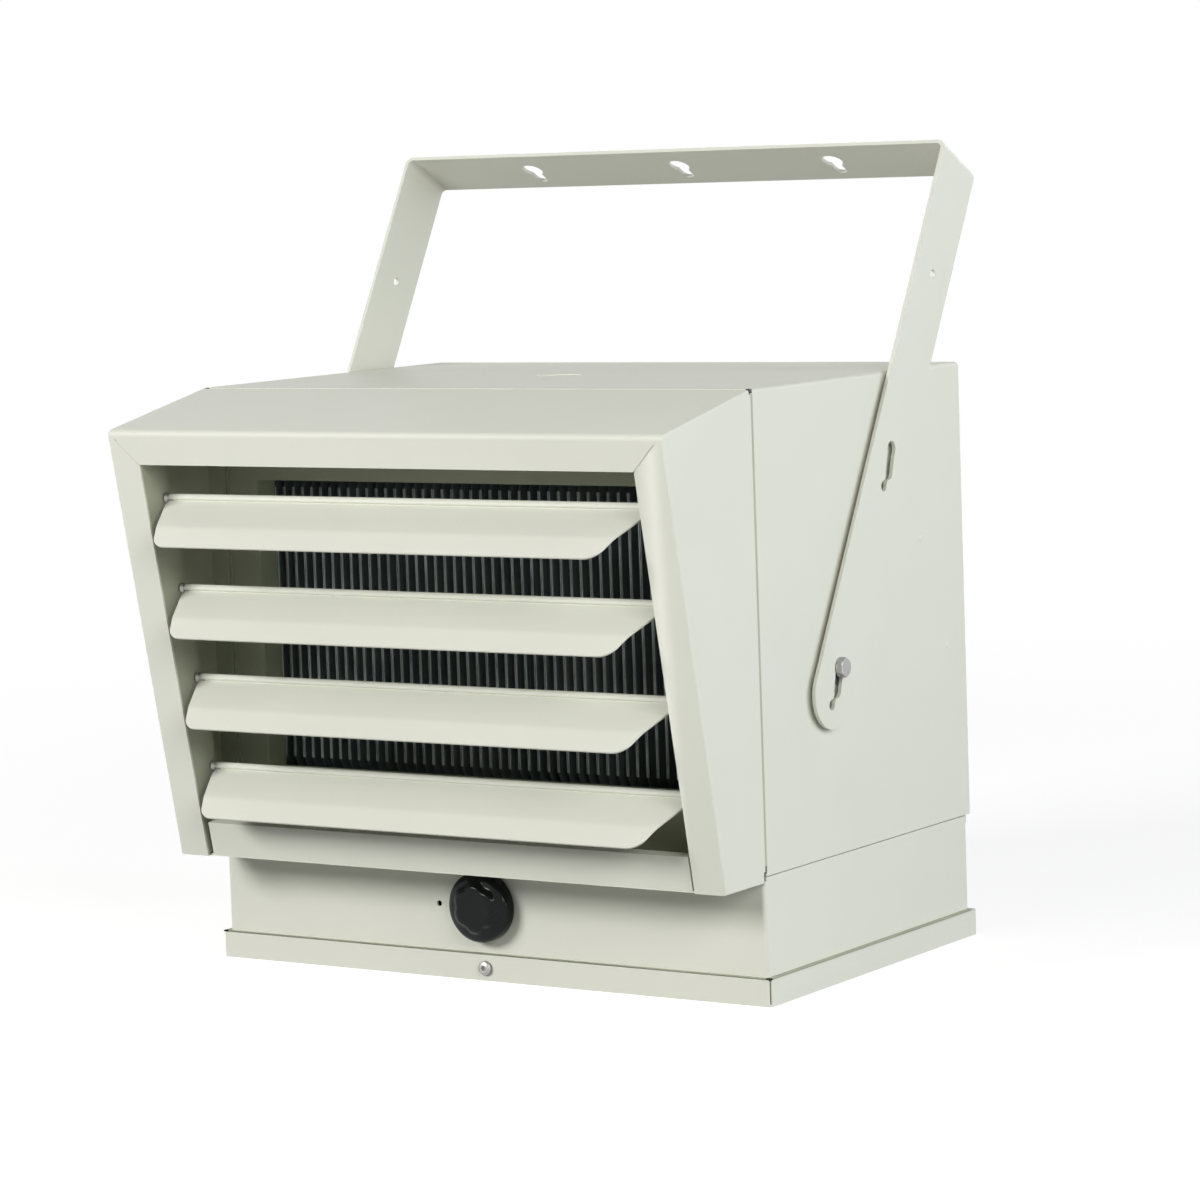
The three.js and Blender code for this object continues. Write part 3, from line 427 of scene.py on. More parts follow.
def wire_finish(name, color):
    material, tree, shader = plain_finish(name, color, roughness=0.38, spread=0.08, cloud=60)
    bump(tree, shader, noise(tree, 300, detail=2.0), strength=0.08, distance=0.05)
    return material


MATERIALS = {
    "enamel": enamel(),
    "inner_enamel": inner_enamel(),
    "galvanized": galvanized(),
    "zinc": zinc(),
    "black_fins": black_fins(),
    "fan_metal": fan_metal(),
    "motor_paint": motor_paint(),
    "knob_plastic": knob_plastic(),
    "moulding": moulding(),
    "wire_black": wire_finish("wire_black", (0.02, 0.02, 0.021)),
    "wire_red": wire_finish("wire_red", (0.33, 0.03, 0.024)),
}


# ---- the frame's own nodes ----
SHEET_EDGE = 0.35
BLOCK_EDGE = 0.5
ROD_EDGE = 0.2
# a rod's facets meet at less than this many degrees
ROD_SHARP_ANGLE = 60
WELD_DISTANCE = 0.002
ROUND_NODES = ("motor_lead", "thermostat_lead", "supply_lead", "fan_shaft", "knob_shaft")


def dress_frame():
    """Gives every CAD node its slot's material and rounded edges."""
    for row in frame["record"]["subparts"]:
        obj = frame["nodes"][row["node"]]
        obj.data.materials.clear()
        obj.data.materials.append(MATERIALS[row["material_slot"]])
        obj.data.polygons.foreach_set("use_smooth", [True] * len(obj.data.polygons))
        weld = obj.modifiers.new("weld", "WELD")
        weld.merge_threshold = WELD_DISTANCE * MM
        if row["node"] in ROUND_NODES:
            soften(obj, ROD_EDGE, angle=ROD_SHARP_ANGLE)
        elif row["material_slot"] == "moulding":
            soften(obj, BLOCK_EDGE)
        else:
            soften(obj, SHEET_EDGE)


# ---- places read from the frame ----
def middle(node):
    """The middle of a node's box, in millimetres."""
    low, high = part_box(node)
    return (low + high) / (2 * MM)


def extent(node):
    """A node's lowest and highest corners, in millimetres."""
    low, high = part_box(node)
    return low / MM, high / MM


def about_y(x, y, z, toward=-1):
    """Turns a piece built along +Z so that it points along -Y (toward -1) or +Y, and sets it at a place."""
    return Matrix.Translation((x, y, z)) @ Matrix.Rotation(math.radians(-90 * toward), 4, "X")


def about_x(x, y, z, toward=1):
    """The same toward +X, or toward -X (toward -1)."""
    return Matrix.Translation((x, y, z)) @ Matrix.Rotation(math.radians(90 * toward), 4, "Y")


# ---- the sheet metal's paint, with painted shade inside ----
HOOD_TOP_DROP = 17.7
HOOD_FOOT_REACH = 39.3
HOOD_RISE_REACH = 86.5
REAR_FLANGE = 5.0
# the paint is unshaded down to the first depth (mm) behind an outer plane, and carries painted shade from the
# second
UNSHADED_DEPTH = 0.6
SHADED_DEPTH = 1.0
SHADE_SPREAD = 0.06


def depth_behind(tree, point, inward):
    """The distance in metres behind a plane through a point in millimetres."""
    offset = tree.nodes.new("ShaderNodeVectorMath")
    offset.operation = "SUBTRACT"
    offset.inputs[1].default_value = [c * MM for c in point]
    tree.links.new(place_node(tree), offset.inputs[0])
    depth = tree.nodes.new("ShaderNodeVectorMath")
    depth.operation = "DOT_PRODUCT"
    depth.inputs[1].default_value = inward
    tree.links.new(offset.outputs["Vector"], depth.inputs[0])
    return depth.outputs["Value"]


def shade_inside(name, planes):
    """Powder coat, darkened as painted shade a sheet's thickness behind the outer planes."""
    material, tree, shader = powder_coat(name)
    depths = [depth_behind(tree, point, inward) for point, inward in planes]
    inside = mapped(tree, folded(tree, "MINIMUM", depths), before=(UNSHADED_DEPTH * MM, SHADED_DEPTH * MM))
    mix = tree.nodes.new("ShaderNodeMix")
    mix.data_type = "RGBA"
    tree.links.new(inside, mix.inputs["Factor"])
    tree.links.new(shader.inputs["Base Color"].links[0].from_socket, mix.inputs["A"])
    # painted shade: the darkened ivory on the surfaces behind the outer planes
    shaded_tone = ramp(tree, noise(tree, SHADE_CLOUD), (0.3, shade(SHADED_IVORY, 1 - SHADE_SPREAD)),
                (0.7, shade(SHADED_IVORY, 1 + SHADE_SPREAD)))
    tree.links.new(shaded_tone, mix.inputs["B"])
    tree.links.new(mix.outputs["Result"], shader.inputs["Base Color"])
    return material


def side_planes(low, high):
    """The left and right outer planes of a box, each as a point and the way in."""
    return [(low, (1, 0, 0)), (high, (-1, 0, 0))]


def hood_enamel():
    """The hood's outer planes are its sides, its sloping front and its sloping top."""
    low, high = extent("hood_shell")
    top = Vector((0, low.y, high.z - HOOD_TOP_DROP))
    foot = Vector((0, low.y + HOOD_RISE_REACH - HOOD_FOOT_REACH, low.z))
    rise = Vector((0, high.y, high.z))
    down = (foot - top).normalized()
    back = (rise - top).normalized()
    return shade_inside("hood_enamel", side_planes(low, high) + [
        (top, (0, -down.z, down.y)),
        (top, (0, back.z, -back.y)),
    ])


def wrap_enamel():
    """The cabinet's rear flange is seen from outside, so it gets no painted shade."""
    low, high = extent("housing_wrap")
    behind = high - Vector((0, REAR_FLANGE, 0))
    return shade_inside("wrap_enamel", side_planes(low, high) + [(high, (0, 0, -1)), (behind, (0, -1, 0))])


def shade_sheet_metal_inside():
    """The hood and the cabinet get paint with painted shade inside."""
    for node, material in (("hood_shell", hood_enamel()), ("housing_wrap", wrap_enamel())):
        frame["nodes"][node].data.materials[0] = material


# ---- louvers ----
HEM_RADIUS = 2.4
LOUVER_SHEET = 1.0
HEM_DROP = 0.4
UPPER_CHORD = 27.0
LOWER_CHORD = 14.2
UPPER_SLOPE = math.radians(29)
LOWER_SLOPE = math.radians(40.3)
LOUVER_SHOULDER = 5.7
LOUVER_TAPER = 13.6
LOUVER_CORNER = 6.5
BEND_LENGTH = 3.2
LOUVER_EDGE = 0.18
HEM_SHEET = 0.8
HEM_GROOVE = 0.65
# the groove's place round the bead, from +Y over the top, and its half width: both in radians
HEM_GROOVE_ANGLE = math.radians(213)
HEM_GROOVE_WIDTH = 0.3


def blade_stations():
    """Distances down the blade from the hem, close together at the bend and at the round corners."""
    shoulder_steps, upper_steps, bend_steps, corner_steps = 3, 10, 4, 12
    bend_start, bend_end = UPPER_CHORD - BEND_LENGTH / 2, UPPER_CHORD + BEND_LENGTH / 2
    upper = UPPER_CHORD - BEND_LENGTH - LOUVER_SHOULDER
    lower = UPPER_CHORD + LOWER_CHORD - bend_end
    stations = [LOUVER_SHOULDER * i / shoulder_steps for i in range(shoulder_steps)]
    stations += [LOUVER_SHOULDER + upper * i / upper_steps for i in range(upper_steps + 1)]
    stations += [bend_start + BEND_LENGTH * i / bend_steps for i in range(bend_steps + 1)]
    for i in range(1, corner_steps + 1):
        stations.append(bend_end + lower * math.sin(math.pi / 2 * i / corner_steps))
    return stations


def blade_line():
    """Points down the blade's top face from the hem, with the distance travelled: (y, z, slope, distance)."""
    y, z = math.sin(UPPER_SLOPE) * HEM_DROP, -math.cos(UPPER_SLOPE) * HEM_DROP
    points = []
    before = 0.0
    for station in blade_stations():
        share = min(1, max(0, (station - UPPER_CHORD) / BEND_LENGTH + 0.5))
        slope = UPPER_SLOPE + (LOWER_SLOPE - UPPER_SLOPE) * share
        y -= math.cos(slope) * (station - before)
        z -= math.sin(slope) * (station - before)
        before = station
        points.append((y, z, slope, station))
    return points


def blade_half(half, distance):
    """Half the blade's width at a distance from the hem: shoulders, a taper and round lower corners."""
    chord = UPPER_CHORD + LOWER_CHORD
    width = half - LOUVER_TAPER * max(distance - LOUVER_SHOULDER, 0) / (chord - LOUVER_SHOULDER)
    over = distance - (chord - LOUVER_CORNER)
    if over > 0:
        width -= LOUVER_CORNER - math.sqrt(max(LOUVER_CORNER ** 2 - over ** 2, 0))
    return width


def blade_sheet(half):
    """The blade's sheet below the hem, closed all round; half is half its width at the hem."""
    columns = 12
    rows = blade_line()
    verts = []
    for side in (0, 1):
        for y, z, slope, distance in rows:
            width = blade_half(half, distance)
            drop = LOUVER_SHEET * side
            for c in range(columns + 1):
                x = width * (2 * c / columns - 1)
                verts.append((x, y + math.sin(slope) * drop, z - math.cos(slope) * drop))
    return verts, sheet_faces(len(rows) - 1, columns)


def rolled_hem(half):
    """The sheet's top edge rolled into a closed bead, with a shallow groove where it meets the sheet."""
    steps, spans = 36, 4
    verts, faces = [], []
    for k in range(spans + 1):
        x = half * (2 * k / spans - 1)
        for wall, groove in ((HEM_RADIUS, HEM_GROOVE), (HEM_RADIUS - HEM_SHEET, 0)):
            for i in range(steps):
                turn = 2 * math.pi * i / steps
                nearness = math.exp(-((turn - HEM_GROOVE_ANGLE) / HEM_GROOVE_WIDTH) ** 2)
                radius = wall - groove * nearness
                verts.append((x, radius * math.cos(turn), radius * math.sin(turn)))
    row = 2 * steps
    for k in range(spans + 1):
        for i in range(steps):
            j = (i + 1) % steps
            outer = [k * row + i, k * row + j]
            inner = [v + steps for v in outer]
            if k in (0, spans):
                faces.append((outer[0], outer[1], inner[1], inner[0]))
            if k < spans:
                faces.append((outer[0], outer[1], outer[1] + row, outer[0] + row))
                faces.append((inner[1], inner[0], inner[0] + row, inner[1] + row))
    return verts, faces


STEPS_PER_TURN = 14


def coil_spring(radius, wire, x0, x1, turns):
    """A helix of round wire along X."""
    steps = turns * STEPS_PER_TURN
    points = []
    for i in range(steps + 1):
        turn = 2 * math.pi * turns * i / steps
        x = x0 + (x1 - x0) * i / steps
        points.append((x, radius * math.cos(turn), radius * math.sin(turn)))
    return tube(points, wire, sides=8)


PIN_RADIUS = 1.5
PIN_TIP_RADIUS = 1.1
COLLAR_RADIUS = 2.9
COLLAR_SETBACK = 3.2
COLLAR_LENGTH = 3.4
SPRING_RADIUS = 1.95
SPRING_WIRE = 0.3
SPRING_LENGTH = 4.0
SPRING_TURNS = 4


def hinge_pin(low, high, way):
    """A pin with a turned-down tip, a tapered collar by the return and a small spring that keeps it out."""
    x0, x1 = (low.x, high.x) if way > 0 else (-high.x, -low.x)
    collar = x1 - COLLAR_SETBACK
    start = collar - COLLAR_LENGTH
    pin = lathe([(0, x0), (PIN_RADIUS, x0), (PIN_RADIUS, x1 - 0.5), (PIN_TIP_RADIUS, x1 - 0.1), (0, x1)],
                sides=20)
    cone = lathe([(PIN_RADIUS, start), (COLLAR_RADIUS, collar - 1.4), (COLLAR_RADIUS, collar - 0.5),
                  (PIN_RADIUS, collar - 0.4)], sides=24)
    upright = placed(join_parts(pin, cone), about_x(0, 0, 0))
    spring = coil_spring(SPRING_RADIUS, SPRING_WIRE, start - SPRING_LENGTH, start, SPRING_TURNS)
    part = join_parts(upright, spring)
    return part if way > 0 else placed(part, Matrix.Rotation(math.pi, 4, "Z"))


def add_louvers():
    """Four blades, each with a hinge pin at either end."""
    for i in range(1, LOUVERS + 1):
        low, high = extent(f"louver_{i}")
        pin = middle(f"louver_pin_{i}_right")
        place = Matrix.Translation((0, pin.y, pin.z))
        half = high.x
        part = join_parts(blade_sheet(half), rolled_hem(half))
        piece(f"louver_blade_{i}", part, f"louver_{i}", "enamel", [f"louver_{i}"], LOUVER_EDGE, place)
        for name, way in SIDES:
            node = f"louver_pin_{i}_{name}"
            low, high = extent(node)
            piece(f"louver_hinge_pin_{i}_{name}", hinge_pin(low, high, way), f"louver_{i}", "zinc", [node],
                  place=place)


# ---- knob ----
LOBES = 6
LOBE_SHARPNESS = 1.4
KNOB_SIDES = 180
# the rim and the shoulder: how far in from the rim, how high above the back, how deep between two lobes
KNOB_SHOULDER = ((0.6, 0.0, 0), (0, 0.5, 0), (0, 5.6, 0), (0.25, 6.7, 0), (0.9, 7.6, 0), (1.9, 8.3, 0),
                 (3.2, 8.8, 0.1), (4.2, 9.1, 0.6), (5.0, 9.5, 1.3), (5.6, 10.2, 1.6))
# the same for the cap, with its depths below the knob's front instead of heights
KNOB_CAP = ((6.2, 1.0, 1.6), (7.0, 0.4, 1.3), (8.2, 0.05, 0.8), (10.0, 0, 0.3), (12.0, 0.1, 0),
            (15.0, 0.25, 0))


def lobed(radius, turn, depth):
    """A radius that dips by depth between the lobes."""
    return radius - depth * (0.5 + 0.5 * math.cos(LOBES * turn)) ** LOBE_SHARPNESS


def thermostat_knob(radius, length):
    """Built along +Z from its back: a round disc whose domed front rises in six soft lobes to a flat cap."""
    rows = list(KNOB_SHOULDER) + [(inset, length - drop, depth) for inset, drop, depth in KNOB_CAP]
    verts = []
    for inset, height, depth in rows:
        for i in range(KNOB_SIDES):
            turn = 2 * math.pi * i / KNOB_SIDES
            reach = lobed(radius - inset, turn, depth)
            verts.append((reach * math.cos(turn), reach * math.sin(turn), height))
    return verts, stacked(len(rows), KNOB_SIDES)


def add_knob():
    low, high = extent("knob")
    centre = middle("knob")
    part = thermostat_knob((high.x - low.x) / 2, high.y - low.y)
    piece("thermostat_knob", part, "knob", "knob_plastic", ["knob"],
          place=about_y(centre.x, high.y, centre.z))


# ---- screws and bolts ----
SCREW_HEAD = 2.4
SCREW_SHANK = 1.9
THREAD_PITCH = 0.9
THREAD_ROOT = 0.82
RECESS_REACH = 1.9
RECESS_HALF_WIDTH = 0.35
FLANGE_SHARE = 0.3
DOME_START = 0.35
BACK_SCREWS = 4


def pan_head_screw(head_radius, head_height, shank_radius, length):
    """A domed head with a cross recess and a flange, on a threaded shank; the head points along +Z."""
    dome = []
    for degrees in range(90, 14, -8):
        rise = DOME_START + (1 - DOME_START) * math.cos(math.radians(degrees))
        dome.append((head_radius * math.sin(math.radians(degrees)), head_height * rise))
    recess = [(1.5, head_height * 0.9), (1.1, head_height * 0.45), (0, head_height * 0.4)]
    head = lathe([(0, 0), (head_radius, 0), (head_radius, head_height * FLANGE_SHARE)] + dome + recess,
                 sides=32)
    root = shank_radius * THREAD_ROOT
    thread = []
    for i in range(int(length / THREAD_PITCH)):
        z = -length + i * THREAD_PITCH
        thread += [(root, z), (shank_radius, z + THREAD_PITCH / 2)]
    shank = lathe([(0, -length - 0.01)] + thread + [(root, 0.2), (0, 0.2)], sides=20)
    reach, half = RECESS_REACH, RECESS_HALF_WIDTH
    bar = box_part(-reach, reach, -half, half, head_height * 0.5, head_height * 0.62)
    return join_parts(head, shank, bar, placed(bar, Matrix.Rotation(math.radians(90), 4, "Z")))


SCREWS = (
    [("cover_screw", -1)]
    + [(f"back_screw_{i}", 1) for i in range(1, BACK_SCREWS + 1)]
    + [(f"bracket_screw_{side}", 1) for side, _ in SIDES]
)


def add_screws():
    """Each screw's head points to the front (-1) or the back (1) and seats where the node's head does."""
    for node, toward in SCREWS:
        low, high = extent(node)
        centre = middle(node)
        seat = low.y + SCREW_HEAD if toward < 0 else high.y - SCREW_HEAD
        length = high.y - low.y - SCREW_HEAD
        part = pan_head_screw((high.x - low.x) / 2, SCREW_HEAD, SCREW_SHANK, length)
        piece(f"{node}_head", part, "cabinet", "zinc", [node],
              place=about_y(centre.x, seat, centre.z, toward))


BOLT_HEAD_HEIGHT = 3.8
BOLT_HEAD_SHARE = 0.95
BOLT_CHAMFER = 0.5
BOLT_FLANGE = 0.5
BOLT_SHANK = 3.9
BOLT_POINT = 3.5
BOLT_BED = 0.1
BOLT_SIDES = 72
# radii as shares of the distance across the hexagon's flats
BOLT_FLANGE_SHARE = 0.56
BOLT_BEVEL_SHARE = 0.52
BOLT_TOP_SHARE = 0.44


def hex_radius(across, turn):
    """The distance to a hexagon's edge at an angle from a corner's direction."""
    sixth = math.pi / 3
    return across / 2 / math.cos(turn % sixth - sixth / 2)


def hexagon_head(across, height):
    """A hexagon on a round washer face, with its top corners turned off; closed at both ends."""
    flange, bevel, crown = [across * share for share in (BOLT_FLANGE_SHARE, BOLT_BEVEL_SHARE, BOLT_TOP_SHARE)]
    top = height - BOLT_CHAMFER
    # the radius that a row keeps within, its height, and whether the hexagon cuts it
    rows = [(flange, 0.0, False), (flange, BOLT_FLANGE, False), (across, BOLT_FLANGE, True),
            (across, top, True), (bevel, top + BOLT_CHAMFER * 0.6, True), (crown, height, True)]
    verts = []
    for limit, z, cut in rows:
        for i in range(BOLT_SIDES):
            turn = 2 * math.pi * i / BOLT_SIDES
            radius = min(limit, hex_radius(across, turn)) if cut else limit
            verts.append((radius * math.cos(turn), radius * math.sin(turn), z))
    return verts, stacked(len(rows), BOLT_SIDES)


def pivot_bolt(across, head_height, length):
    """A hexagon head and a plain shank, along +Z."""
    shank = lathe([(0, -length), (BOLT_POINT, -length), (BOLT_SHANK, -length + BOLT_CHAMFER),
                   (BOLT_SHANK, BOLT_BED), (0, BOLT_BED)], sides=24)
    return join_parts(hexagon_head(across, head_height), shank)


def add_pivot_bolts():
    """A bolt on each side, with its head outward."""
    for name, way in SIDES:
        node = f"pivot_bolt_{name}"
        low, high = extent(node)
        tip = high.x if way > 0 else low.x
        length = high.x - low.x - BOLT_HEAD_HEIGHT
        across = (high.z - low.z) * BOLT_HEAD_SHARE
        centre = middle(node)
        part = pivot_bolt(across, BOLT_HEAD_HEIGHT, length)
        piece(f"{node}_hex", part, "cabinet", "zinc", [node],
              place=about_x(tip - way * BOLT_HEAD_HEIGHT, centre.y, centre.z, way))


# ---- painted shade in the seams and corners, and spot welds ----
# the black strip in the hood's seam is painted shade
SEAM_SHADE_RECESS = 0.2
SEAM_SHADE_SHEET = 1.6
SEAM_SHADE_THICKNESS = 0.4
SEAM_SHADE_EDGE = 0.05
# a grey strip along each side seam and black blocks in its corners, all painted shade
STRIP_REACH = 2.1
STRIP_PROUD = 0.15
STRIP_BED = 0.1
STRIP_FOOT = 2.6
STRIP_HEAD = 3.0
CORNER_SHADE_SHEET = 1.7
CORNER_SHADE_PROUD = 0.2
CORNER_SHADE_AHEAD = 1.7
CORNER_SHADE_BEHIND = 1.5
# where a corner block of painted shade starts and ends above the cabinet's seam, and below its top
CORNER_SHADE_LOW = (1.6, 5.4)
CORNER_SHADE_HIGH = (2.5, 0.4)
# a grey strip above the cover's lip, as painted shade
COVER_SHADE_RISE = 0.7
COVER_SHADE_RECESS = 0.3
COVER_SHADE_BED = 0.1
COVER_SHADE_BACK_GAP = 2.0
WELD_RADIUS = 1.7
WELD_RISE = 0.35
WELD_BED = 0.2
# height above the base and distance behind the cabinet's front edge
SPOT_WELDS = ((227.5, 173.5), (165.4, 200.5))


def on_side(way, near, far, y0, y1, z0, z1):
    """A box between two distances from the middle, on the left (-1) or the right (1)."""
    x0, x1 = sorted((way * near, way * far))
    return box_part(x0, x1, y0, y1, z0, z1)


def seam_middle():
    """Where the gap between the hood's back edge and the cabinet's front has its middle."""
    _, hood_high = extent("hood_shell")
    wrap_low, _ = extent("housing_wrap")
    return (hood_high.y + wrap_low.y) / 2


def add_seam_shade_strip():
    """A black strip inside the gap between the hood and the cabinet, down both sides and over the top, as
    painted shade in the seam.
    """
    low, high = extent("housing_wrap")
    seam = seam_middle()
    front, back = seam - SEAM_SHADE_THICKNESS / 2, seam + SEAM_SHADE_THICKNESS / 2
    outer = high.x - SEAM_SHADE_RECESS
    top = high.z - 2 * SEAM_SHADE_SHEET
    parts = [box_part(-outer, outer, front, back, top - SEAM_SHADE_SHEET, top)]
    for _, way in SIDES:
        parts.append(on_side(way, outer - SEAM_SHADE_SHEET, outer, front, back, low.z, high.z - SEAM_SHADE_RECESS))
    piece("hood_seam_shade", join_parts(*parts), "cabinet", "moulding", bevel=SEAM_SHADE_EDGE)


def add_seam_strips():
    """A thin grey strip along the seam behind the hood, as painted shade, with a black block as painted shade
    in each corner relief.
    """
    low, high = extent("housing_wrap")
    strips, stops = [], []
    for _, way in SIDES:
        strips.append(on_side(way, high.x - STRIP_BED, high.x + STRIP_PROUD, seam_middle(),
                              low.y + STRIP_REACH, low.z + STRIP_FOOT, high.z - STRIP_HEAD))
        # each black block here is painted shade in a corner relief
        for z0, z1 in ([low.z + rise for rise in CORNER_SHADE_LOW], [high.z - drop for drop in CORNER_SHADE_HIGH]):
            stops.append(on_side(way, high.x - CORNER_SHADE_SHEET, high.x + CORNER_SHADE_PROUD, low.y - CORNER_SHADE_AHEAD,
                                 low.y + CORNER_SHADE_BEHIND, z0, z1))
    piece("seam_strips", join_parts(*strips), "cabinet", "inner_enamel")
    piece("corner_shade_blocks", join_parts(*stops), "cabinet", "moulding")


def add_cover_shade_line():
    """A thin grey strip above the cover's lip, at the front and both sides, as painted shade along that seam.
    """
    cover_low, cover_high = extent("bottom_cover")
    low, high = extent("lower_housing")
    z0, z1 = cover_high.z - COVER_SHADE_BED, cover_high.z + COVER_SHADE_RISE
    side, front = cover_high.x - COVER_SHADE_RECESS, cover_low.y + COVER_SHADE_RECESS
    parts = [box_part(-side, side, front, low.y, z0, z1)]
    for _, way in SIDES:
        parts.append(on_side(way, high.x, side, front, high.y - COVER_SHADE_BACK_GAP, z0, z1))
    piece("cover_shade_line", join_parts(*parts), "cabinet", "inner_enamel")


def add_spot_welds():
    """Low round domes on the cabinet's sides."""
    low, high = extent("housing_wrap")
    dome = lathe([(0, -WELD_BED), (WELD_RADIUS, -WELD_BED), (WELD_RADIUS, 0),
                  (WELD_RADIUS * 0.8, WELD_RISE * 0.6), (WELD_RADIUS * 0.4, WELD_RISE * 0.95),
                  (0, WELD_RISE)], sides=24)
    for name, way in SIDES:
        parts = [placed(dome, about_x(way * high.x, low.y + behind, height, way))
                 for height, behind in SPOT_WELDS]
        piece(f"spot_welds_{name}", join_parts(*parts), "cabinet", "enamel")


# ---- heating element ----
FIN_PITCH = 6.35
FIN_SHEET = 0.5
FIN_BEAD = 1.6
FIN_CHAMFER = 9.0
FIN_MARGIN = 4.0
TUBE_RADIUS = 4.2
TUBES = 2
TUBE_BEND = 12.0
TUBE_END_GAP = 14.0


def finned_plate(x, y0, y1, z0, z1):
    """One fin: a thin plate with chamfered front corners and a folded front edge."""
    cut = FIN_CHAMFER
    back = y0 + cut / 2
    side = [(back, z0), (y1, z0), (y1, z1), (back, z1), (y0, z1 - cut), (y0, z0 + cut)]
    half = FIN_SHEET / 2
    verts = [(x - half, y, z) for y, z in side] + [(x + half, y, z) for y, z in side]
    bead = FIN_BEAD / 2
    edge = box_part(x - bead, x + bead, y0, y0 + FIN_BEAD, z0 + cut, z1 - cut)
    return join_parts((verts, stacked(2, len(side))), edge)


def hairpin(low, high, centre_y):
    """The heating tube's line: in from the left end, round a U at the right and back."""
    rise = (high.z - low.z - 2 * FIN_MARGIN) / TUBES
    reach = high.x - TUBE_END_GAP
    lower, upper = [low.z + FIN_MARGIN + rise * (k + 0.5) for k in range(TUBES)]
    turn_x = reach - TUBE_BEND
    steps = 6
    turns = [math.pi / 2 * i / steps for i in range(steps + 1)]
    line = [(-high.x, lower)]
    line += [(turn_x + TUBE_BEND * math.sin(a), lower + TUBE_BEND * (1 - math.cos(a))) for a in turns]
    line += [(turn_x + TUBE_BEND * math.cos(a), upper - TUBE_BEND * (1 - math.sin(a))) for a in turns]
    line.append((-reach, upper))
    return [(x, centre_y, z) for x, z in line]


def add_element():
    """As many fins as fit between the end plates, on one bent tube."""
    low, high = extent("heating_element")
    _, left_end = extent("element_end_left")
    right_end, _ = extent("element_end_right")
    inner = (right_end.x - left_end.x) / 2
    count = int((inner - FIN_PITCH / 2) // FIN_PITCH)
    parts = [finned_plate(i * FIN_PITCH, low.y, high.y, low.z, high.z) for i in range(-count, count + 1)]
    parts.append(tube(hairpin(low, high, (low.y + high.y) / 2), TUBE_RADIUS, sides=20))
    piece("finned_element", join_parts(*parts), "cabinet", "black_fins", ["heating_element"])


# ---- fan, motor and guard ----
BLADES = 5
BLADE_WIDTH = 70.0
BLADE_SHEET = 1.2
BLADE_TIP = 104.0
BLADE_EDGE = 0.3
# degrees: the blade's pitch at its root, and how much less it is at the tip
ROOT_PITCH = 36
TWIST = 14
SWEEP = math.radians(10)
CAMBER = 0.16
FLATTEN = 0.82
# shares of the blade's width: at the root's own start, and what it swells by
START_WIDTH = 0.34
SWELL = 0.62
# the part of the blade's length beyond which its corners are rounded off
ROUNDED_FROM = 0.8
ROUNDED_BY = 0.55
HUB_RADIUS = 22.0
HUB_HALF = 11.0
HUB_BORE = 4.3
HUB_ROUND = 2.0
HUB_DISH = 3.0
HUB_COLLAR = 12.0


def blade_width(share):
    """The blade's width at a share of the way from root to tip."""
    swell = math.sin(math.pi * min(share * 0.62 + 0.05, 0.5))
    width = BLADE_WIDTH * (START_WIDTH + SWELL * swell)
    beyond = max(share - ROUNDED_FROM, 0) / (1 - ROUNDED_FROM)
    return width * math.sqrt(1 - beyond ** 2 * ROUNDED_BY)


def fan_blade(root, tip, index):
    """A cambered, twisted blade along +X, then turned about Z."""
    rows, columns = 14, 12
    verts = []
    for side in (0, 1):
        for r in range(rows + 1):
            share = r / rows
            radius = root + (tip - root) * share
            pitch = math.radians(ROOT_PITCH - TWIST * share)
            local = blade_width(share)
            for c in range(columns + 1):
                u = c / columns - 0.5
                across = u * local
                camber = (0.25 - u * u) * local * CAMBER
                y = across * math.cos(pitch) - camber * math.sin(pitch)
                z = across * math.sin(pitch) * FLATTEN + camber * math.cos(pitch) + BLADE_SHEET * side
                sweep = SWEEP * share
                verts.append((radius * math.cos(sweep) - y * math.sin(sweep),
                              radius * math.sin(sweep) + y * math.cos(sweep), z))
    blade = verts, sheet_faces(rows, columns)
    return placed(blade, Matrix.Rotation(2 * math.pi * index / BLADES, 4, "Z"))


def add_fan():
    low, high = extent("fan_wheel")
    shaft = middle("fan_shaft")
    root = HUB_RADIUS - HUB_ROUND
    floor = HUB_HALF - HUB_DISH
    parts = [fan_blade(root, BLADE_TIP, i) for i in range(BLADES)]
    parts.append(lathe([(HUB_BORE, -HUB_HALF), (root, -HUB_HALF), (HUB_RADIUS, -HUB_HALF + HUB_ROUND),
                        (HUB_RADIUS, floor), (HUB_RADIUS - HUB_DISH, HUB_HALF), (HUB_COLLAR, HUB_HALF),
                        (HUB_COLLAR - 2, floor), (HUB_BORE, floor), (HUB_BORE, -HUB_HALF)], sides=48))
    centre_y = (low.y + high.y) / 2
    piece("fan_wheel_blades", join_parts(*parts), "fan", "fan_metal", ["fan_wheel"], BLADE_EDGE,
          about_y(shaft.x, centre_y, shaft.z))


MOTOR_STEP = 0.6
MOTOR_BAND = 15.2
SHELL_SEAM = 1.2
VENTS = 8
VENT_START = 17.5
VENT_PITCH = 2.6
VENT_DEPTH = 0.9
SHAFT_BORE = 4.3
THROUGH_BOLTS = 4
THROUGH_BOLT_CIRCLE = 28
THROUGH_BOLT_RADIUS = 2.6
THROUGH_BOLT_HEIGHT = 3.0
THROUGH_BOLT_SEAT = 0.2


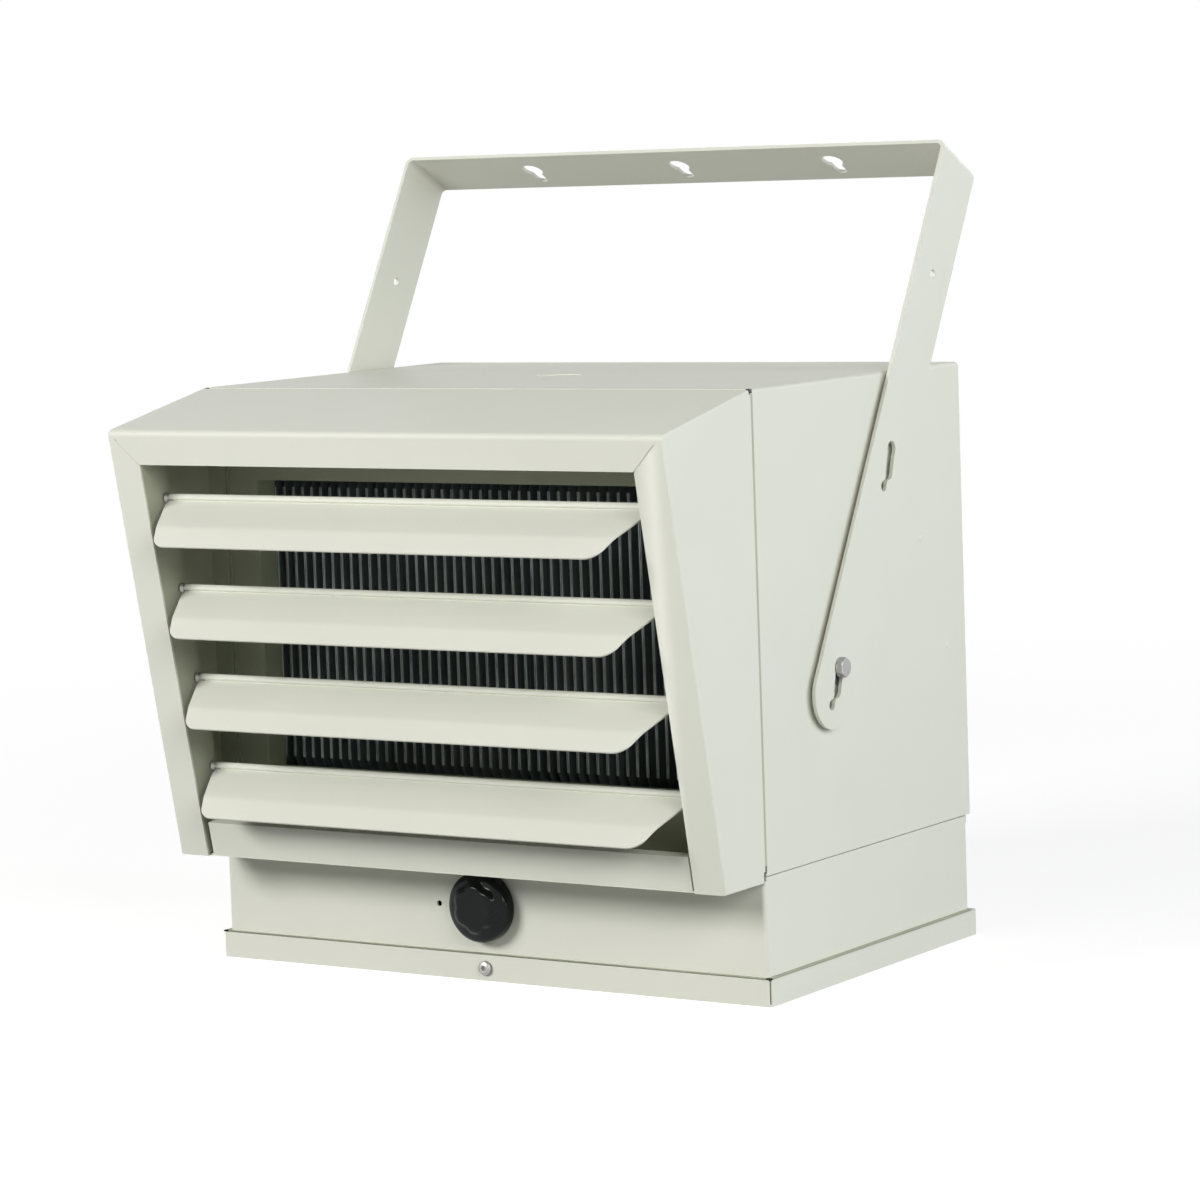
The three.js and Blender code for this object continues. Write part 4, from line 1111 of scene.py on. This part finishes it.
def motor_profile(radius, length):
    """The motor from its back: an end cap, a ribbed band, a second end cap and the bearing's nose."""
    slim = radius - MOTOR_STEP
    profile = [(0, 0), (24, 0), (26, 0.5), (radius - 8, 0.6), (radius - 3, 2.0), (slim, 6.0),
               (slim, MOTOR_BAND - 0.2), (radius, MOTOR_BAND), (radius, MOTOR_BAND + SHELL_SEAM)]
    for i in range(VENTS):
        z = VENT_START + i * VENT_PITCH
        floor = radius - VENT_DEPTH
        profile += [(radius, z), (floor, z + 0.2), (floor, z + 1.0), (radius, z + 1.2)]
    profile += [(radius, length - 13), (slim, length - 12.8), (slim, length - 10), (radius - 3, length - 6),
                (radius - 8, length - 4.2), (14.5, length - 4), (14, length - 0.4), (13.4, length),
                (SHAFT_BORE, length), (SHAFT_BORE, length - 8), (0, length - 8)]
    return profile


def add_motor():
    low, high = extent("motor_body")
    centre = middle("motor_body")
    parts = [lathe(motor_profile((high.x - low.x) / 2, high.y - low.y), sides=64)]
    bolt = lathe([(0, 0), (THROUGH_BOLT_RADIUS, 0), (THROUGH_BOLT_RADIUS, THROUGH_BOLT_HEIGHT),
                  (0, THROUGH_BOLT_HEIGHT)], sides=16)
    for k in range(THROUGH_BOLTS):
        turn = 2 * math.pi * (k + 0.5) / THROUGH_BOLTS
        x, y = THROUGH_BOLT_CIRCLE * math.cos(turn), THROUGH_BOLT_CIRCLE * math.sin(turn)
        parts.append(placed(bolt, Matrix.Translation((x, y, THROUGH_BOLT_SEAT))))
    piece("motor_shell", join_parts(*parts), "cabinet", "motor_paint", ["motor_body"],
          place=about_y(centre.x, high.y, centre.z))


GUARD_WIRE = 1.5
GUARD_PITCH = 15.0
GUARD_INNER = 24.0
GUARD_HUB = 16.5
GUARD_BAR = 1.35
GUARD_BAR_GAP = 1.0
GUARD_BAR_TURNS = (45, 135)
# the cross-sections of a bar, as shares of its half length
GUARD_BAR_STATIONS = (-1, -0.5, 0.5, 1)
RING_STEPS = 96
WIRE_SIDES = 10


def ring(radius, wire):
    turns = [2 * math.pi * i / RING_STEPS for i in range(RING_STEPS)]
    points = [(radius * math.cos(turn), radius * math.sin(turn), 0) for turn in turns]
    return tube(points, wire, WIRE_SIDES, closed=True)


def add_guard():
    """Rings of wire on two crossed bars, with a pressed cap in the middle."""
    low, high = extent("intake_guard")
    centre = middle("intake_guard")
    outer = (high.x - low.x) / 2 - GUARD_WIRE
    parts = []
    radius = outer
    while radius > GUARD_INNER:
        parts.append(ring(radius, GUARD_WIRE))
        radius -= GUARD_PITCH
    reach = outer - GUARD_BAR_GAP
    for degrees in GUARD_BAR_TURNS:
        turn = math.radians(degrees)
        bar = [(k * reach * math.cos(turn), k * reach * math.sin(turn), 0) for k in GUARD_BAR_STATIONS]
        parts.append(tube(bar, GUARD_BAR, WIRE_SIDES))
    parts.append(lathe([(0, -1.2), (GUARD_HUB, -1.2), (GUARD_HUB, 0.2), (GUARD_HUB - 2, 1.1), (0, 1.4)],
                       sides=40))
    piece("wire_guard", join_parts(*parts), "cabinet", "zinc", ["intake_guard"],
          place=about_y(centre.x, centre.y, centre.z, 1))


# ---- stage, light and camera ----
# metres
CAMERA_PLACE = (1.3282, -1.9900, 0.4489)
CAMERA_YAW = math.radians(33.584)
CAMERA_DROP = math.radians(6.063)
CAMERA_ROLL = math.radians(2.032)
CAMERA_LENS = 129.306
SENSOR = 36.0
NEAR_CLIP = 0.05


def add_camera():
    """The photograph's view: yaw to the left of +Y, drop below the horizon, and a small roll."""
    yaw, drop, roll = CAMERA_YAW, CAMERA_DROP, CAMERA_ROLL
    forward = Vector((-math.sin(yaw) * math.cos(drop), math.cos(yaw) * math.cos(drop), -math.sin(drop)))
    right = forward.cross(Vector((0, 0, 1))).normalized()
    down = forward.cross(right)
    turned_right = right * math.cos(roll) + down * math.sin(roll)
    turned_down = down * math.cos(roll) - right * math.sin(roll)
    turn = Matrix((turned_right, -turned_down, -forward)).transposed().to_4x4()
    data = bpy.data.cameras.new("camera")
    data.lens = CAMERA_LENS
    data.sensor_width = SENSOR
    data.clip_start = NEAR_CLIP
    camera = add_object("camera", data)
    camera.matrix_world = Matrix.Translation(CAMERA_PLACE) @ turn
    bpy.context.scene.camera = camera


# AMBIENT lights the surfaces and WORLD_WHITE is seen behind them; the lamps' places and sizes are in metres
AMBIENT = 0.045
WORLD_WHITE = 1.0
HEART = (0, 0, 0.2)
LAMP_DISTANCE = 2.7
# name, azimuth from the hood's side toward +X, elevation, power, size, colour
LAMPS = (
    ("key", -29, 22, 54.0, (1.2, 0.8), (1.0, 1.0, 0.99)),
    ("front_right", 55, 21, 28.0, (1.2, 1.2), (1.0, 0.99, 0.96)),
    ("side", 96, 13, 37.0, (1.4, 1.4), (0.91, 0.94, 1.0)),
    ("rear", 170, 26, 9.0, (1.6, 1.6), (1.0, 1.0, 1.0)),
    ("left", -105, 14, 14.0, (1.6, 1.6), (1.0, 1.0, 1.0)),
)


def seen_directly(tree):
    """1 for camera, glossy and transmission rays, else 0."""
    path = tree.nodes.new("ShaderNodeLightPath")
    rays = [path.outputs[f"Is {kind} Ray"] for kind in ("Camera", "Glossy", "Transmission")]
    return folded(tree, "MAXIMUM", rays)


def add_world():
    """A faint even light, and white wherever the background is seen."""
    world = bpy.data.worlds.new("studio")
    bpy.context.scene.world = world
    world.use_nodes = True
    tree = world.node_tree
    tree.nodes.clear()
    soft = tree.nodes.new("ShaderNodeBackground")
    soft.inputs["Color"].default_value = (1.0, 1.0, 0.99, 1)
    soft.inputs["Strength"].default_value = AMBIENT
    white = tree.nodes.new("ShaderNodeBackground")
    white.inputs["Color"].default_value = (1, 1, 1, 1)
    white.inputs["Strength"].default_value = WORLD_WHITE
    mix = tree.nodes.new("ShaderNodeMixShader")
    out = tree.nodes.new("ShaderNodeOutputWorld")
    tree.links.new(seen_directly(tree), mix.inputs["Fac"])
    tree.links.new(soft.outputs["Background"], mix.inputs[1])
    tree.links.new(white.outputs["Background"], mix.inputs[2])
    tree.links.new(mix.outputs["Shader"], out.inputs["Surface"])


def area_light(name, azimuth, elevation, power, size, color):
    """A rectangular lamp that looks at the heater's middle."""
    data = bpy.data.lights.new(name, "AREA")
    data.shape = "RECTANGLE"
    data.size, data.size_y = size
    data.energy = power
    data.color = color
    lamp = add_object(name, data)
    turn, rise = math.radians(azimuth), math.radians(elevation)
    away = Vector((math.sin(turn) * math.cos(rise), -math.cos(turn) * math.cos(rise), math.sin(rise)))
    place = Vector(HEART) + away * LAMP_DISTANCE
    lamp.matrix_world = Matrix.Translation(place) @ away.to_track_quat("Z", "Y").to_matrix().to_4x4()


def add_lights():
    for row in LAMPS:
        area_light(*row)


# the floor's half width, and the distances over which it fades to white, are in metres
FLOOR_HALF = 6.0
FADE_START = 0.45
FADE_END = 1.6
FLOOR_TONE = 0.36
FLOOR_SPREAD = 0.01
FLOOR_GLOW = 0.74
FLOOR_ECHO = 0.42


def floor_material():
    """A soft grey for the light that it sends up, and near white where it is looked at."""
    material, tree, shader = new_material("pale_floor")
    shader.inputs["Roughness"].default_value = 0.9
    shader.inputs["Specular IOR Level"].default_value = 0.0
    low, high = FLOOR_TONE - FLOOR_SPREAD, FLOOR_TONE + FLOOR_SPREAD
    tree.links.new(ramp(tree, noise(tree, 3.0), (0.3, (low,) * 3), (0.7, (high,) * 3)),
                   shader.inputs["Base Color"])
    echo = tree.nodes.new("ShaderNodeBsdfDiffuse")
    echo.inputs["Color"].default_value = (FLOOR_ECHO, FLOOR_ECHO, FLOOR_ECHO, 1)
    glow = tree.nodes.new("ShaderNodeEmission")
    glow.inputs["Strength"].default_value = FLOOR_GLOW
    near = tree.nodes.new("ShaderNodeAddShader")
    tree.links.new(echo.outputs["BSDF"], near.inputs[0])
    tree.links.new(glow.outputs["Emission"], near.inputs[1])
    white = tree.nodes.new("ShaderNodeEmission")
    distance = tree.nodes.new("ShaderNodeVectorMath")
    distance.operation = "LENGTH"
    tree.links.new(place_node(tree), distance.inputs[0])
    fade = tree.nodes.new("ShaderNodeMapRange")
    fade.interpolation_type = "SMOOTHSTEP"
    fade.inputs["From Min"].default_value = FADE_START
    fade.inputs["From Max"].default_value = FADE_END
    tree.links.new(distance.outputs["Value"], fade.inputs["Value"])
    seen = tree.nodes.new("ShaderNodeMixShader")
    tree.links.new(fade.outputs["Result"], seen.inputs["Fac"])
    tree.links.new(near.outputs["Shader"], seen.inputs[1])
    tree.links.new(white.outputs["Emission"], seen.inputs[2])
    both = tree.nodes.new("ShaderNodeMixShader")
    tree.links.new(seen_directly(tree), both.inputs["Fac"])
    tree.links.new(shader.outputs["BSDF"], both.inputs[1])
    tree.links.new(seen.outputs["Shader"], both.inputs[2])
    out = next(node for node in tree.nodes if node.type == "OUTPUT_MATERIAL")
    tree.links.new(both.outputs["Shader"], out.inputs["Surface"])
    return material


def add_floor():
    corners = [(x * FLOOR_HALF, y * FLOOR_HALF, 0) for x, y in ((-1, -1), (1, -1), (1, 1), (-1, 1))]
    data = bpy.data.meshes.new("floor")
    data.from_pydata(corners, [], [(0, 1, 2, 3)])
    data.materials.append(floor_material())
    floor = add_object("floor", data)


def add_stage():
    add_camera()
    add_world()
    add_lights()
    add_floor()
    bpy.context.scene.view_settings.view_transform = "Standard"


add_stage()
dress_frame()
shade_sheet_metal_inside()
add_louvers()
add_knob()
add_screws()
add_pivot_bolts()
add_seam_shade_strip()
add_seam_strips()
add_cover_shade_line()
add_spot_welds()
add_element()
add_fan()
add_motor()
add_guard()

bpy.context.view_layer.update()
